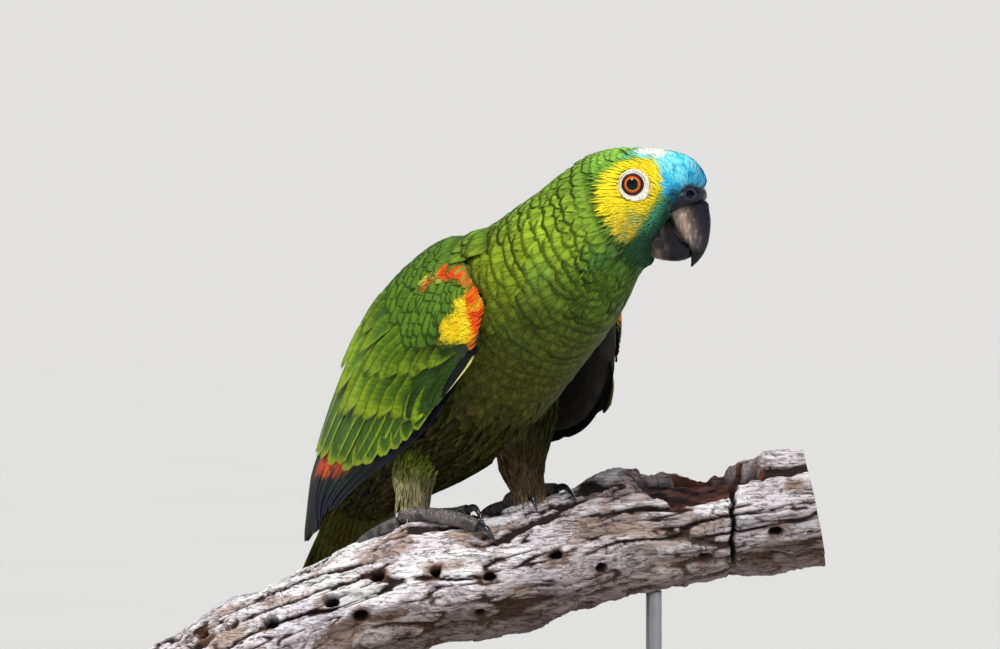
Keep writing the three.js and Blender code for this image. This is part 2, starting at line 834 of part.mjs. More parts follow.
function wingArm(sheet) {
  const rings = [];
  for (let r = 0; r <= ARM_STEPS; r++) {
    const u = r / ARM_STEPS;
    const along = mix(ARM.from, ARM.to, u);
    const upper = mix(...ARM.upper, u);
    const lower = mix(ARM.lower, upper + ARM.thin, u ** ARM.taper);
    const face = (depth) =>
      Array.from({ length: ARM_COLUMNS + 1 }, (_, c) => {
        const across = mix(...ARM.across, c / ARM_COLUMNS);
        return sheet.at(along, across).addScaledVector(sheet.normal(along, across), -depth);
      });
    rings.push([...face(upper), ...face(lower).reverse()]);
  }
  return solid(bladeSkin(rings));
}

function wing(rails, side) {
  const sheet = wingSheet(rails, side);
  const vanes = WING_ROWS.flatMap((row) => wingRow(sheet, side, row));
  return union([wingArm(sheet), ...vanes]).subtract(grownSkin);
}

// ---------- Tail ----------

// The root's place, ahead and up, and its feathers: half-spread of the middle and outermost ones at root and
// tip, how much shorter the outermost are, and how much deeper each next one lies at root and tip.
const TAIL = {
  root: [-96, 156],
  slope: -60 * DEG,
  length: 122,
  pairs: 5,
  rootSpread: [1.4, 10.5],
  tipSpread: [3, 21],
  shorter: 0.12,
  width: 15,
  step: [1.3, 1.7],
  sag: 5,
};

// A vane of the tail: its half-spread at root and tip, its length and how deep it lies under the back.
function tailVane({ side, root, tip, start, length, width, depth, lift, outline }) {
  const along = [Math.cos(TAIL.slope), Math.sin(TAIL.slope)];
  const line = (u) => {
    const reach = start + length * u;
    const ahead = TAIL.root[0] - along[0] * reach;
    const up = TAIL.root[1] + along[1] * reach;
    const out = inBody(along[1], 0, along[0]).sub(BODY_ORIGIN).normalize();
    const bend = TAIL.sag * (reach / TAIL.length) ** 2;
    const middle = inBody(ahead, side * mix(root, tip, u), up);
    middle.addScaledVector(out, -mix(...depth, u) - bend);
    const across = rightOf(BODY_YAW).multiplyScalar(side * lift);
    return { middle, across, out: out.multiplyScalar(lift) };
  };
  return vane({ line, width, outline });
}

function tailFeathers() {
  const vanes = [];
  for (const side of [1, -1]) {
    for (let k = 0; k < TAIL.pairs; k++) {
      const share = k / (TAIL.pairs - 1);
      vanes.push(
        tailVane({
          side,
          root: mix(...TAIL.rootSpread, share),
          tip: mix(...TAIL.tipSpread, share),
          start: 0,
          length: TAIL.length * (1 - TAIL.shorter * share ** 2),
          width: TAIL.width,
          depth: TAIL.step.map((step) => step * (side > 0 ? k : k + 0.5)),
          lift: 1,
          outline: LONG_TIP,
        }),
      );
    }
  }
  return vanes;
}

// Coverts over (lift 1) and under (lift -1) the tail's root, the middle one outermost.
const TAIL_COVERTS = [
  { lift: 1, length: 46, depth: [-4.4, -4.8], pairs: 2 },
  { lift: -1, length: 66, depth: [10, 11.5], pairs: 2 },
  { lift: -1, length: 46, depth: [13.5, 15], pairs: 2 },
];
const COVERT = { width: 15, rootSpread: 8, tipSpread: 13, drop: 1.3, shorter: 0.18 };

function tailCoverts() {
  const vanes = [];
  for (const { lift, length, depth, pairs } of TAIL_COVERTS) {
    for (let i = -pairs; i <= pairs; i++) {
      const share = Math.abs(i) / pairs;
      const sink = COVERT.drop * Math.abs(i) + (i < 0 ? COVERT.drop / 2 : 0);
      vanes.push(
        tailVane({
          side: i < 0 ? -1 : 1,
          root: share * COVERT.rootSpread,
          tip: share * COVERT.tipSpread,
          start: 1,
          length: length * (1 - COVERT.shorter * share),
          width: COVERT.width,
          depth: depth.map((d) => d + lift * sink),
          lift,
          outline: SHORT_ROUND,
        }),
      );
    }
  }
  return vanes;
}

// The fleshy root that carries the tail's feathers, cut from the end of the body's skin.
function tail() {
  const root = between(skin, null, TAIL_CUT);
  const vanes = [...tailFeathers(), ...tailCoverts()];
  const trimmed = union([root, ...vanes]).subtract(between(grownSkin, TAIL_CUT, null));
  const { point, ahead } = cutAt(TAIL_CUT);
  return trimmed.subtract(beyond(point.clone().addScaledVector(ahead, -GAP / 2), ahead));
}

// ---------- Legs and feet ----------

// Each leg in the bird's frame, from the flank to where the feathers end above the foot.
const LEGS = {
  right: {
    thigh: [[-12, 12, 205], [-19, 15, 184], [-27, 18, 166], [-26, 20.5, 151]],
    thighRadii: [20, 15.5, 11.5, 8],
    ankle: [-24, 21.5, 149],
    foot: [-22.5, -4],
    toes: {
      inner: { path: [[-20, 6], [-10, 17], [1, 28], [9, 36]], radii: [3.6, 3.7, 3.3, 2.8] },
      outer: { path: [[-20, -6], [-11, -4], [-3, -1], [4, 4]], radii: [3.7, 3.8, 3.4, 2.9] },
      hind: { path: [[-25, -16], [-28, -32], [-30, -48]], radii: [3.5, 3.5, 2.8] },
      hindOuter: { path: [[-27, -10], [-36, -20], [-45, -34], [-51, -46]], radii: [3.6, 3.7, 3.3, 2.8] },
    },
    claws: {
      inner: [[9, 36], [14, 46], [17, 58]],
      outer: [[4, 4], [9, 14], [13, 32]],
      hind: [[-30, -48], [-32, -64], [-32, -80]],
      hindOuter: [[-51, -46], [-56, -60], [-58, -76]],
    },
  },
  left: {
    thigh: [[10, -18, 210], [9, -20, 190], [10, -20, 170], [15, -20, 157]],
    thighRadii: [22, 17.5, 12, 8],
    ankle: [17, -21, 156],
    foot: [31, -18],
    toes: {
      inner: { path: [[33, -12], [37, -4], [40, 4]], radii: [3.6, 3.6, 2.9] },
      outer: { path: [[35, -20], [43, -14], [48, -8], [52, -2]], radii: [3.7, 3.8, 3.4, 2.9] },
      hind: { path: [[30, -32], [27, -46], [26, -62]], radii: [3.5, 3.5, 2.8] },
      hindOuter: { path: [[27, -22], [18, -28], [10, -38], [5, -48]], radii: [3.6, 3.7, 3.3, 2.8] },
    },
    claws: {
      inner: [[40, 4], [41, 14], [41, 28]],
      outer: [[52, -2], [57, 14], [60, 36]],
      hind: [[26, -62], [25, -78], [25, -94]],
      hindOuter: [[5, -48], [1, -60], [-1, -76]],
    },
  },
};
const SHANK = { radii: [4.6, 4.2, 4.2], pad: 5.2, padHeight: 4 };
const CLAW_FORM = { radii: [2.1, 1.5, 0.5], rise: [0.4, 1], tipHeight: 0.9 };

// A place above the bark: X along the branch, angle from its top, height of the middle over the bark.
function overBark([x, degrees], height) {
  const { point, out } = branchSurface(x, degrees * DEG);
  return point.addScaledVector(out, height);
}

function toeTube({ path, radii }, grow) {
  const middles = path.map((place, i) => overBark(place, radii[i] + GAP));
  return solid(tube(middles, radii, ...FACETS.toe, grow));
}

// A claw that leaves the toe's end at its middle height, arches and comes down to the bark.
function clawTube(path, base) {
  const heights = [...CLAW_FORM.rise.map((rise) => base + rise), CLAW_FORM.tipHeight];
  const middles = path.map((place, i) => overBark(place, heights[i] + GAP));
  return solid(tube(middles, CLAW_FORM.radii, ...FACETS.claw));
}

// The bare leg and the pad over the bark that the toes spread from.
function shankSolid({ ankle, foot }, grow) {
  const pad = overBark(foot, SHANK.padHeight);
  const top = inBody(...ankle);
  const ball = new THREE.SphereGeometry(SHANK.pad + grow, ...FACETS.pad).translate(...pad);
  const stem = tube([top, top.clone().lerp(pad, 0.5), pad], SHANK.radii, ...FACETS.shank, grow);
  return solid(stem).add(solid(ball));
}

const thighSolid = ({ thigh, thighRadii }, grow) =>
  solid(tube(thigh.map((p) => inBody(...p)), thighRadii, ...FACETS.thigh, grow));

// The nodes of one leg, each cut clear of those above it and of the bark.
function leg(name) {
  const shape = LEGS[name];
  const nodes = [[`thigh_${name}`, thighSolid(shape, 0).subtract(grownSkin), GREEN]];
  let taken = union([thighSolid(shape, GAP), grownBranch]);
  nodes.push([`shank_${name}`, shankSolid(shape, 0).subtract(taken), LEG_SKIN]);
  taken = taken.add(shankSolid(shape, GAP));
  for (const [toe, form] of Object.entries(shape.toes)) {
    nodes.push([`toe_${name}_${toe}`, toeTube(form, 0).subtract(taken), LEG_SKIN]);
    taken = taken.add(toeTube(form, GAP));
    const claw = clawTube(shape.claws[toe], form.radii.at(-1));
    nodes.push([`claw_${name}_${toe}`, claw.subtract(taken), CLAW]);
  }
  return nodes;
}

// ---------- The whole ----------

const group = new THREE.Group();
const place = (name, body, material) => group.add(meshOf(name, body, material));

place("stand_base", standBase(), BASE_WOOD);
place("stand_rod_left", standRod(ROD.leftX), STEEL);
place("stand_rod_right", standRod(ROD.rightX), STEEL);
place("perch", perch(), BARK);

place("torso", between(skin, TAIL_CUT, NECK_CUT), GREEN);
place("neck", between(skin, NECK_CUT, HEAD_CUT), LIME);
place("head", head(), BLUE_HEAD);
place("cere", cere(), CERE_SKIN);
place("bill_upper", upperBill(0), HORN);
place("bill_lower", lowerMandible(), HORN);
place("eye_right", eyeball(1, 0), IRIS);
place("eye_left", eyeball(-1, 0), IRIS);
place("wing_right", wing(NEAR_WING, 1), WING_GREEN);
place("wing_left", wing(FAR_WING, -1), WING_GREEN);
place("tail", tail(), TAIL_GREEN);
for (const side of ["right", "left"]) {
  for (const [name, body, material] of leg(side)) place(name, body, material);
}

export default group;
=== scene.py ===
"""A life-size turquoise-fronted amazon parrot on a weathered branch, dressed in its feathers.

Shapes are worked out in millimetres and turned to metres where each mesh is made. +Z is up, the branch runs
along X, and the bird's own frames have "ahead" along its heading, "right" to its right side and "up" along Z.
"""

import itertools
import math

import bpy
import numpy as np
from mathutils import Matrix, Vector
from mathutils.bvhtree import BVHTree
from mathutils.kdtree import KDTree


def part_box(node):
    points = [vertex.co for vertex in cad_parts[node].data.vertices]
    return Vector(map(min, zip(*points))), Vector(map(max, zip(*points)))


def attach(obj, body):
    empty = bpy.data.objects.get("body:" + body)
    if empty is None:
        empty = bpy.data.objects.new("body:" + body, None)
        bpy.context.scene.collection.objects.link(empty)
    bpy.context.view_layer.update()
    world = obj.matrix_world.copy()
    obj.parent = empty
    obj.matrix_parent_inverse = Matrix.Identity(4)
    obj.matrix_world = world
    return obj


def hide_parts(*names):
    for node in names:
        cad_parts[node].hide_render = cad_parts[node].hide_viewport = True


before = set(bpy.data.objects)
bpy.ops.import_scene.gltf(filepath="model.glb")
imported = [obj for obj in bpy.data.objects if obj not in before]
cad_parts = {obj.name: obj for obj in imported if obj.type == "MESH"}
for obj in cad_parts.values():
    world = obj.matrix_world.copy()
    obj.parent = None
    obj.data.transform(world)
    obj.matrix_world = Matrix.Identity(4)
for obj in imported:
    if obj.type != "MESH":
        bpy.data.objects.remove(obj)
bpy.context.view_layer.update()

MM = 0.001
rng = np.random.default_rng(20)

# ---------- Driving dimensions ----------

BODY_ORIGIN = np.array((3.5, 0.0, 0.0))
HEAD_ORIGIN = np.array((83.5, -76.0, 306.0))
BODY_YAW, HEAD_YAW = 52, 15
UP = np.array((0.0, 0.0, 1.0))

CAMERA = {"x": 15, "distance": 2780, "z": 237.75, "lens": 200, "sensor": 36, "clip": 100}
BASE = {"length": 240, "width": 130, "thickness": 12, "corner": 22, "edge": 2.5}
ROD = {"radius": 4, "at": (-94, 92), "sides": 64}
FLOOR_PLANE = {"half": 30000, "up": -0.2}
PATCH = 0.003  # side of a tuft's patch on the coat's map


def heading(yaw):
    """The level way ahead at a turn in degrees."""
    yaw = np.radians(yaw)
    return np.stack([np.cos(yaw), -np.sin(yaw), 0 * yaw], -1)


def right_of(yaw):
    yaw = np.radians(yaw)
    return np.stack([-np.sin(yaw), -np.cos(yaw), 0 * yaw], -1)


def placed(origin, yaw, ahead, right, up):
    return origin + ahead * heading(yaw) + right * right_of(yaw) + up * UP


def in_body(ahead, right, up):
    return placed(BODY_ORIGIN, BODY_YAW, ahead, right, up)


def in_head(ahead, right, up):
    return placed(HEAD_ORIGIN, HEAD_YAW, ahead, right, up)


def head_way(way, side):
    """A way from the head's frame, turned to the right side or mirrored to the left."""
    return unit(in_head(way[0], side * way[1], way[2]) - HEAD_ORIGIN)


def head_frame(points):
    """Points as ahead, right and up of the middle between the eyes."""
    d = points - HEAD_ORIGIN
    return np.stack([d @ heading(HEAD_YAW), d @ right_of(HEAD_YAW), d[..., 2]], -1)


def unit(vectors):
    return vectors / np.maximum(np.linalg.norm(vectors, axis=-1, keepdims=True), 1e-9)


def ease(low, high, x):
    """From 0 to 1 as x goes from low to high, with soft ends."""
    t = np.clip((x - low) / (high - low), 0, 1)
    return t * t * (3 - 2 * t)


def path_length(points):
    return np.linalg.norm(np.diff(points, axis=0), axis=-1).sum()


def round_ring(count):
    """Angles evenly round a ring."""
    return np.linspace(0, 2 * math.pi, count, endpoint=False)


def grid(a, b):
    return np.meshgrid(a, b, indexing="ij")


def bell(x, middle, width):
    """From 1 at the middle down to 0 on both sides."""
    return np.exp(-(((x - middle) / width) ** 2))


def blend(a, b, share):
    """From a to b by a share that varies over the points."""
    return a + (b - a) * np.asarray(share)[..., None]


def spline(controls, t, beyond=False):
    """A smooth line through control points at t from 0 to 1, or one line for each t in a (n, m, k) list."""
    c = np.asarray(controls, float)
    if c.ndim == 1:
        c = c[:, None]
    last = len(c) - 1
    t = np.asarray(t, float)
    place = np.clip(t, 0, 1) * last
    i = np.minimum(place.astype(int), last - 1)
    f = (place - i)[..., None]
    p = np.concatenate([[2 * c[0] - c[1]], c, [2 * c[-1] - c[-2]]])
    if c.ndim == 3:
        m = np.arange(c.shape[1])
        p0, p1, p2, p3 = (p[i + k, m] for k in range(4))
    else:
        p0, p1, p2, p3 = (p[i + k] for k in range(4))
    v0, v1 = (p2 - p0) / 2, (p3 - p1) / 2
    point = (2 * p1 - 2 * p2 + v0 + v1) * f**3 + (3 * p2 - 3 * p1 - 2 * v0 - v1) * f**2 + v0 * f + p1
    if beyond:
        over = (t - np.clip(t, 0, 1))[..., None] * last
        point = point + np.where(over < 0, v0, v1) * over
    return point


def noise(points, size, seed=0):
    """Smooth lumps from -1 to 1, each about as wide as size, which may differ by axis."""
    p = np.asarray(points, float) / size + seed * 17.13
    cell = np.floor(p).astype(np.int64)
    f = p - cell
    f = f * f * (3 - 2 * f)
    total = 0
    for corner in itertools.product((0, 1), repeat=3):
        c = cell + corner
        h = (c[..., 0] * 73856093) ^ (c[..., 1] * 19349663) ^ (c[..., 2] * 83492791) ^ (seed * 2654435)
        h = ((h ^ (h >> 13)) * 1274126177) & 0xFFFFFFFF
        h = ((h ^ (h >> 16)) * 2246822519) & 0xFFFFFFFF
        share = 1
        for axis, side in enumerate(corner):
            share = share * (f[..., axis] if side else 1 - f[..., axis])
        total = total + share * (h / 2**31 - 1)
    return total


# ---------- Surfaces ----------


class Surface:
    """A curved face that two numbers, p and q, run over. at takes flat arrays."""

    def __init__(self, at, sign=1, steps=(0.002, 0.01)):
        self.at = at
        self.sign = sign
        self.steps = steps

    def point(self, p, q):
        p, q = np.broadcast_arrays(np.asarray(p, float), np.asarray(q, float))
        return self.at(p.ravel(), q.ravel()).reshape(p.shape + (3,))

    def slopes(self, p, q):
        dp, dq = self.steps
        along = (self.point(p + dp, q) - self.point(p - dp, q)) / (2 * dp)
        across = (self.point(p, q + dq) - self.point(p, q - dq)) / (2 * dq)
        return along, across

    def frame(self, p, q):
        """The slopes along p and q, and the way out."""
        along, across = self.slopes(p, q)
        return along, across, unit(np.cross(across, along)) * self.sign

    def normal(self, p, q):
        return self.frame(p, q)[2]

    def rates(self, along, across, direction):
        """How p and q change for each millimetre along a direction in the face."""
        a, b, c = (along * along).sum(-1), (along * across).sum(-1), (across * across).sum(-1)
        e, f = (along * direction).sum(-1), (across * direction).sum(-1)
        under = np.maximum(a * c - b * b, 1e-6)
        return np.stack([(c * e - b * f) / under, (a * f - b * e) / under], -1)


# The body's skin. Each station: middle, heading and rise of the ring's axis, half width, height above, depth.
STATIONS = [
    (in_body(-104, 0, 143), 52, 48, (15, 8, 10)),
    (in_body(-94, 0, 153), 52, 45, (21, 15, 18)),
    (in_body(-74, 0, 170), 52, 41, (30, 25, 27)),
    (in_body(-49, 0, 189), 52, 38, (37, 34, 38)),
    (in_body(-21, 0, 209), 52, 36, (41, 39, 45)),
    (in_body(9, 0, 230), 52, 35, (42, 39, 45)),
    (in_body(38, 0, 250), 51, 34, (40.5, 37, 42)),
    (in_body(66, 0, 266), 47, 36, (36, 35, 38)),
    (in_body(86, -2, 280), 39, 36, (30, 32, 32.5)),
    (in_head(-15.8, 0, -16), 28, 27, (26, 31, 31)),
    (in_head(-8, 0, -12), 20, 20, (24, 30, 30)),
    (in_head(0.3, 0, -10.5), 15, 9, (22.5, 28.5, 28.5)),
    (in_head(9.3, 0, -9.8), 15, -8, (20.5, 26.5, 24.5)),
    (in_head(17, 0, -7.5), 15, -22, (16, 21.5, 18.5)),
    (in_head(22.8, 0, -7.5), 15, -39, (10.5, 14.5, 10.5)),
    (in_head(26, 0, -8), 15, -50, (5.5, 8, 5)),
]
MIDDLES = [s[0] for s in STATIONS]
TURNS = [s[1:3] for s in STATIONS]
SIZES = [s[3] for s in STATIONS]


def body_at(t, angle, grow=0.0):
    """The skin at a share from tail to bill and an angle from the back to the bird's right side."""
    yaw, rise = spline(TURNS, t).T
    half, above, below = spline(SIZES, t).T
    rise = np.radians(rise)[:, None]
    back = -np.sin(rise) * heading(yaw) + np.cos(rise) * UP
    up, side = np.cos(angle), np.sin(angle)
    height = below + (above - below) * ease(-0.35, 0.35, up) + grow
    over, out = (height * up)[:, None] * back, ((half + grow) * side)[:, None] * right_of(yaw)
    return spline(MIDDLES, t, beyond=True) + over + out


BODY = Surface(body_at)

LEGS = {
    "right": {
        "thigh": [(-12, 12, 205), (-19, 15, 184), (-27, 18, 166), (-26, 20.5, 151)],
        "radii": (20, 15.5, 11.5, 8),
        "ankle": (-24, 21.5, 149),
        "foot": (-22.5, -4),
        "toes": {
            "inner": ([(-20, 6), (-10, 17), (1, 28), (9, 36)], (3.6, 3.7, 3.3, 2.8)),
            "outer": ([(-20, -6), (-11, -4), (-3, -1), (4, 4)], (3.7, 3.8, 3.4, 2.9)),
            "hind": ([(-25, -16), (-28, -32), (-30, -48)], (3.5, 3.5, 2.8)),
            "hindOuter": ([(-27, -10), (-36, -20), (-45, -34), (-51, -46)], (3.6, 3.7, 3.3, 2.8)),
        },
        "claws": {
            "inner": [(9, 36), (14, 46), (17, 58)],
            "outer": [(4, 4), (9, 14), (13, 32)],
            "hind": [(-30, -48), (-32, -64), (-32, -80)],
            "hindOuter": [(-51, -46), (-56, -60), (-58, -76)],
        },
    },
    "left": {
        "thigh": [(10, -18, 210), (9, -20, 190), (10, -20, 170), (15, -20, 157)],
        "radii": (22, 17.5, 12, 8),
        "ankle": (17, -21, 156),
        "foot": (31, -18),
        "toes": {
            "inner": ([(33, -12), (37, -4), (40, 4)], (3.6, 3.6, 2.9)),
            "outer": ([(35, -20), (43, -14), (48, -8), (52, -2)], (3.7, 3.8, 3.4, 2.9)),
            "hind": ([(30, -32), (27, -46), (26, -62)], (3.5, 3.5, 2.8)),
            "hindOuter": ([(27, -22), (18, -28), (10, -38), (5, -48)], (3.6, 3.7, 3.3, 2.8)),
        },
        "claws": {
            "inner": [(40, 4), (41, 14), (41, 28)],
            "outer": [(52, -2), (57, 14), (60, 36)],
            "hind": [(26, -62), (25, -78), (25, -94)],
            "hindOuter": [(5, -48), (1, -60), (-1, -76)],
        },
    },
}


def tube_at(path, radii):
    """A tube's face: t along its path, angle round it from the bird's right side."""
    path, radii = np.array(path, float), np.array(radii, float)

    def at(t, angle):
        middle = spline(path, t, beyond=True)
        step = 1e-3
        inner = np.clip(t, step, 1 - step)
        tangent = unit(spline(path, inner + step) - spline(path, inner - step))
        side = unit(right_of(BODY_YAW) - tangent * (tangent @ right_of(BODY_YAW))[:, None])
        other = np.cross(tangent, side)
        radius = spline(radii, t)
        return middle + radius * (np.cos(angle)[:, None] * side + np.sin(angle)[:, None] * other)

    return at


def thigh_surface(leg, inset=0.0):
    return Surface(tube_at([in_body(*p) for p in leg["thigh"]], np.array(leg["radii"]) - inset))


THIGHS = {name: thigh_surface(leg) for name, leg in LEGS.items()}

# Four rails of each folded wing's outer sheet, from wrist and shoulder to the tip: ahead, out, up.
INNER_RAIL = [
    (14, 9, 286), (-10, 6, 278), (-41, 7, 258), (-73, 8, 232),
    (-101, 8, 199), (-119, 9, 165), (-130.5, 10, 131),
]
RAILS = {
    "right": (
        [
            (58, 43, 243), (50, 46, 221), (18, 45, 190), (-16, 39, 173),
            (-62, 30, 156), (-104, 21, 139), (-129, 12, 122),
        ],
        [
            (51, 47, 259), (31, 51, 245), (-2, 51.5, 223), (-36, 46, 203),
            (-78, 34, 180), (-111, 23, 155), (-129.5, 13, 126),
        ],
        [
            (20, 26, 281), (-3, 29, 274), (-31, 31, 258), (-61, 28, 237),
            (-93, 22, 206), (-116, 17, 169), (-130, 13, 131),
        ],
        INNER_RAIL,
    ),
    "left": (
        [
            (54, 46, 238), (37, 61, 211), (9, 67, 187), (-22, 60, 178),
            (-64, 40, 165), (-102, 21, 147), (-129, 12, 126),
        ],
        [
            (50, 49, 257), (30, 60, 242), (-2, 66, 220), (-36, 58, 202),
            (-78, 39, 180), (-109, 23, 156), (-129.5, 13, 128),
        ],
        [
            (20, 26, 281), (-3, 30, 275), (-31, 33, 259), (-61, 30, 238),
            (-93, 23, 206), (-116, 17, 169), (-130, 13, 131),
        ],
        INNER_RAIL,
    ),
}
SIDES = {"right": 1, "left": -1}


def sheet_at(name):
    """A wing's sheet: along from wrist to tip, across from the lower edge to the back."""
    side = SIDES[name]
    curves = [np.array([in_body(a, side * o, u) for a, o, u in rail]) for rail in RAILS[name]]

    def at(along, across):
        lines = np.stack([spline(c, along, beyond=True) for c in curves])
        return spline(lines, across, beyond=True)

    return at


SHEETS = {name: Surface(sheet_at(name), SIDES[name], (0.004, 0.01)) for name in SIDES}

TAIL = {"root": (-96, 156), "slope": -60, "length": 122, "sag": 5}


def tail_at(share, spread):
    """The tail's plane: share from root to tip, spread in millimetres from the middle."""
    slope = math.radians(TAIL["slope"])
    reach = TAIL["length"] * share
    ahead = TAIL["root"][0] - math.cos(slope) * reach
    up = TAIL["root"][1] + math.sin(slope) * reach
    out = math.sin(slope) * heading(BODY_YAW) + math.cos(slope) * UP
    bend = TAIL["sag"] * share**2
    return in_body(ahead[:, None], spread[:, None], up[:, None]) - bend[:, None] * out


TAIL_FACE = Surface(tail_at, -1, (0.01, 1))

# The branch: where its middle runs (X and Z), and its radius there.
BRANCH = [
    (-152, 50, 26),
    (-128, 62, 27.5),
    (-98, 77, 28.5),
    (-55, 96, 28.5),
    (-20, 107, 29.5),
    (15, 113, 29.5),
    (50, 123.5, 29.5),
    (84, 132.5, 29),
    (123, 137.5, 27.5),
    (150, 142, 28),
    (172, 146.5, 28.5),
]
KNOTS = [(-25, 15, 15, 4.5), (76, -10, 13, 4), (156, 0, 14, 2.5), (-110, 60, 16, 2)]
RIPPLES = [(0.8, 7, 0.03), (0.5, 11, -0.05), (0.7, 2, 0.09), (0.4, 3, 0.21)]
ROT = {"x": 115, "angle": 14, "length": 46, "spread": 34, "depth": 8}
MEAN_RADIUS = 28
HOLES = [
    (-123, 40, 3.2), (-94, 65, 3.1), (-65, 70, 3.2), (-42, 62, 3.3),
    (-16, 75, 2.9), (10, 88, 3.1), (-55, 96, 3.2),
    (3, 125, 3), (43, 86, 2.8), (62, 110, 2.6), (115, 122, 3), (151, 106, 3.2), (-30, -70, 3), (60, -75, 3),
    (-100, -80, 3.2),
]

BRANCH_SHARES = np.linspace(0, 1, 2001)
BRANCH_X = spline(BRANCH, BRANCH_SHARES)[:, 0]


def turn_from(degrees, angle):
    """The turn from a place round the branch, in degrees, to an angle."""
    start = math.radians(degrees)
    return np.arctan2(np.sin(angle - start), np.cos(angle - start))


def bark_relief(x, angle, pocket=True):
    """How far the bark's main forms stand out or in at an X and an angle from the top towards -Y."""
    total = sum(h * np.sin(around * angle + along * x) for h, around, along in RIPPLES)
    for at, degrees, reach, height in KNOTS:
        around = turn_from(degrees, angle) * MEAN_RADIUS
        total = total + height * bell(x, at, reach) * bell(around, 0, reach)
    if pocket:
        around = np.degrees(turn_from(ROT["angle"], angle))
        total = total - ROT["depth"] * bell(x, ROT["x"], ROT["length"] / 2) * bell(around, 0, ROT["spread"])
    return total


def branch_point(x, angle, relief):
    """A point of the branch's face, with its way out."""
    t = np.interp(x, BRANCH_X, BRANCH_SHARES)
    at = spline(BRANCH, t)
    step = spline(BRANCH, np.clip(t + 1e-3, 0, 1)) - spline(BRANCH, np.clip(t - 1e-3, 0, 1))
    along = unit(np.stack([step[..., 0], 0 * step[..., 0], step[..., 1]], -1))
    top = unit(UP - along * along[..., 2:3])
    out = top * np.cos(angle)[..., None] + np.array((0, -1.0, 0)) * np.sin(angle)[..., None]
    middle = np.stack([at[..., 0], 0 * at[..., 0], at[..., 1]], -1)
    return middle + out * (at[..., 2] + relief)[..., None], out


def over_bark(place, height):
    """A point at a height over the bark, at a place given as X and degrees from the top."""
    x, degrees = np.array([float(place[0])]), np.array([math.radians(place[1])])
    point, out = branch_point(x, degrees, bark_relief(x, degrees))
    return (point + out * height)[0]


# ---------- Meshes ----------


def grid_quads(rows, cols, wrap=False):
    """Quads of a grid of points, joined round its columns where it wraps."""
    r = np.arange(rows - 1)[:, None] * cols
    c = np.arange(cols if wrap else cols - 1)
    after = (c + 1) % cols
    return np.stack([r + c, r + after, r + cols + after, r + cols + c], -1).reshape(-1, 4)


def fan(first, sides, hub, flip=False):
    """Triangles from a ring of points, whose first one has the number first, to a hub."""
    k = np.arange(sides)
    made = np.stack([first + k, first + (k + 1) % sides, np.full(sides, hub)], -1)
    return made[:, ::-1] if flip else made


def closed(rings):
    """Points, quads and triangles of rings of points, (rows, sides, 3), with a fan over each end."""
    rows, sides = rings.shape[:2]
    hub = rows * sides
    points = np.concatenate([rings.reshape(-1, 3), rings[[0, -1]].mean(1)])
    ends = fan(0, sides, hub, True), fan(hub - sides, sides, hub + 1)
    return points, grid_quads(rows, sides, True), np.concatenate(ends)


def joined(shapes):
    """The points, quads and triangles of several shapes as those of one."""
    starts = np.cumsum([0] + [len(shape[0]) for shape in shapes])
    faces = (np.concatenate([shape[k] + start for shape, start in zip(shapes, starts)]) for k in (1, 2))
    return np.concatenate([shape[0] for shape in shapes]), *faces


def add_tint(mesh, tint):
    """Gives each point of a mesh a colour, and a share where the tint has a fourth number."""
    values = np.ones((len(tint), 4), np.float32)
    values[:, : tint.shape[1]] = tint
    layer = mesh.color_attributes.new(name="Tint", type="FLOAT_COLOR", domain="POINT")
    layer.data.foreach_set("color", np.clip(values, 0, 1).ravel())


def mesh_piece(name, points, quads, triangles=(), tint=None, floats=None, maps=None):
    """An object from points in millimetres. tint, floats and maps are given per point."""
    points = np.asarray(points, float)
    quads = np.asarray(quads, np.int64).reshape(-1, 4)
    triangles = np.asarray(triangles, np.int64).reshape(-1, 3)
    corners = np.concatenate([quads.ravel(), triangles.ravel()])
    starts = np.concatenate([np.arange(len(quads)) * 4, len(quads) * 4 + np.arange(len(triangles)) * 3])
    mesh = bpy.data.meshes.new(name)
    mesh.vertices.add(len(points))
    mesh.vertices.foreach_set("co", (points * MM).astype(np.float32).ravel())
    mesh.loops.add(len(corners))
    mesh.loops.foreach_set("vertex_index", corners.astype(np.int32))
    mesh.polygons.add(len(starts))
    mesh.polygons.foreach_set("loop_start", starts.astype(np.int32))
    mesh.polygons.foreach_set("use_smooth", np.ones(len(starts), bool))
    mesh.update(calc_edges=True)
    if tint is not None:
        add_tint(mesh, tint.reshape(len(points), -1))
    for key, values in (floats or {}).items():
        attribute = mesh.attributes.new(name=key, type="FLOAT", domain="POINT")
        attribute.data.foreach_set("value", np.asarray(values, np.float32).ravel())
    for key, values in (maps or {}).items():
        mesh.uv_layers.new(name=key).data.foreach_set("uv", np.asarray(values[corners], np.float32).ravel())
    piece = bpy.data.objects.new(name, mesh)
    bpy.context.scene.collection.objects.link(piece)
    return piece


def dress(piece, material, slot, *replaced):
    """Gives a piece its material and its body, and hides the solids that it stands for. slot is not used."""
    piece.data.materials.clear()
    piece.data.materials.append(material)
    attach(piece, "root")
    if replaced:
        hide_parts(*replaced)


def grid_tree(surface, p, q, wrap=False):
    """A search tree of a surface's face, over the places p and q."""
    points = surface.point(*grid(p, q)).reshape(-1, 3)
    return BVHTree.FromPolygons(points.tolist(), grid_quads(len(p), len(q), wrap).tolist())


def inside(tree, points, depth=0.0):
    """Which points lie deeper than depth in a closed face."""
    found = []
    for point in points.reshape(-1, 3):
        near, normal, _, _ = tree.find_nearest(Vector(point))
        found.append((Vector(point) - near).dot(normal) < -depth)
    return np.array(found, bool).reshape(points.shape[:-1])


def covered(tree, points, normals, reach):
    """Which points have the tree's face within reach along their normals."""
    hits = [tree.ray_cast(Vector(p), Vector(n), reach)[0] is not None for p, n in zip(points, normals)]
    return np.array(hits, bool)


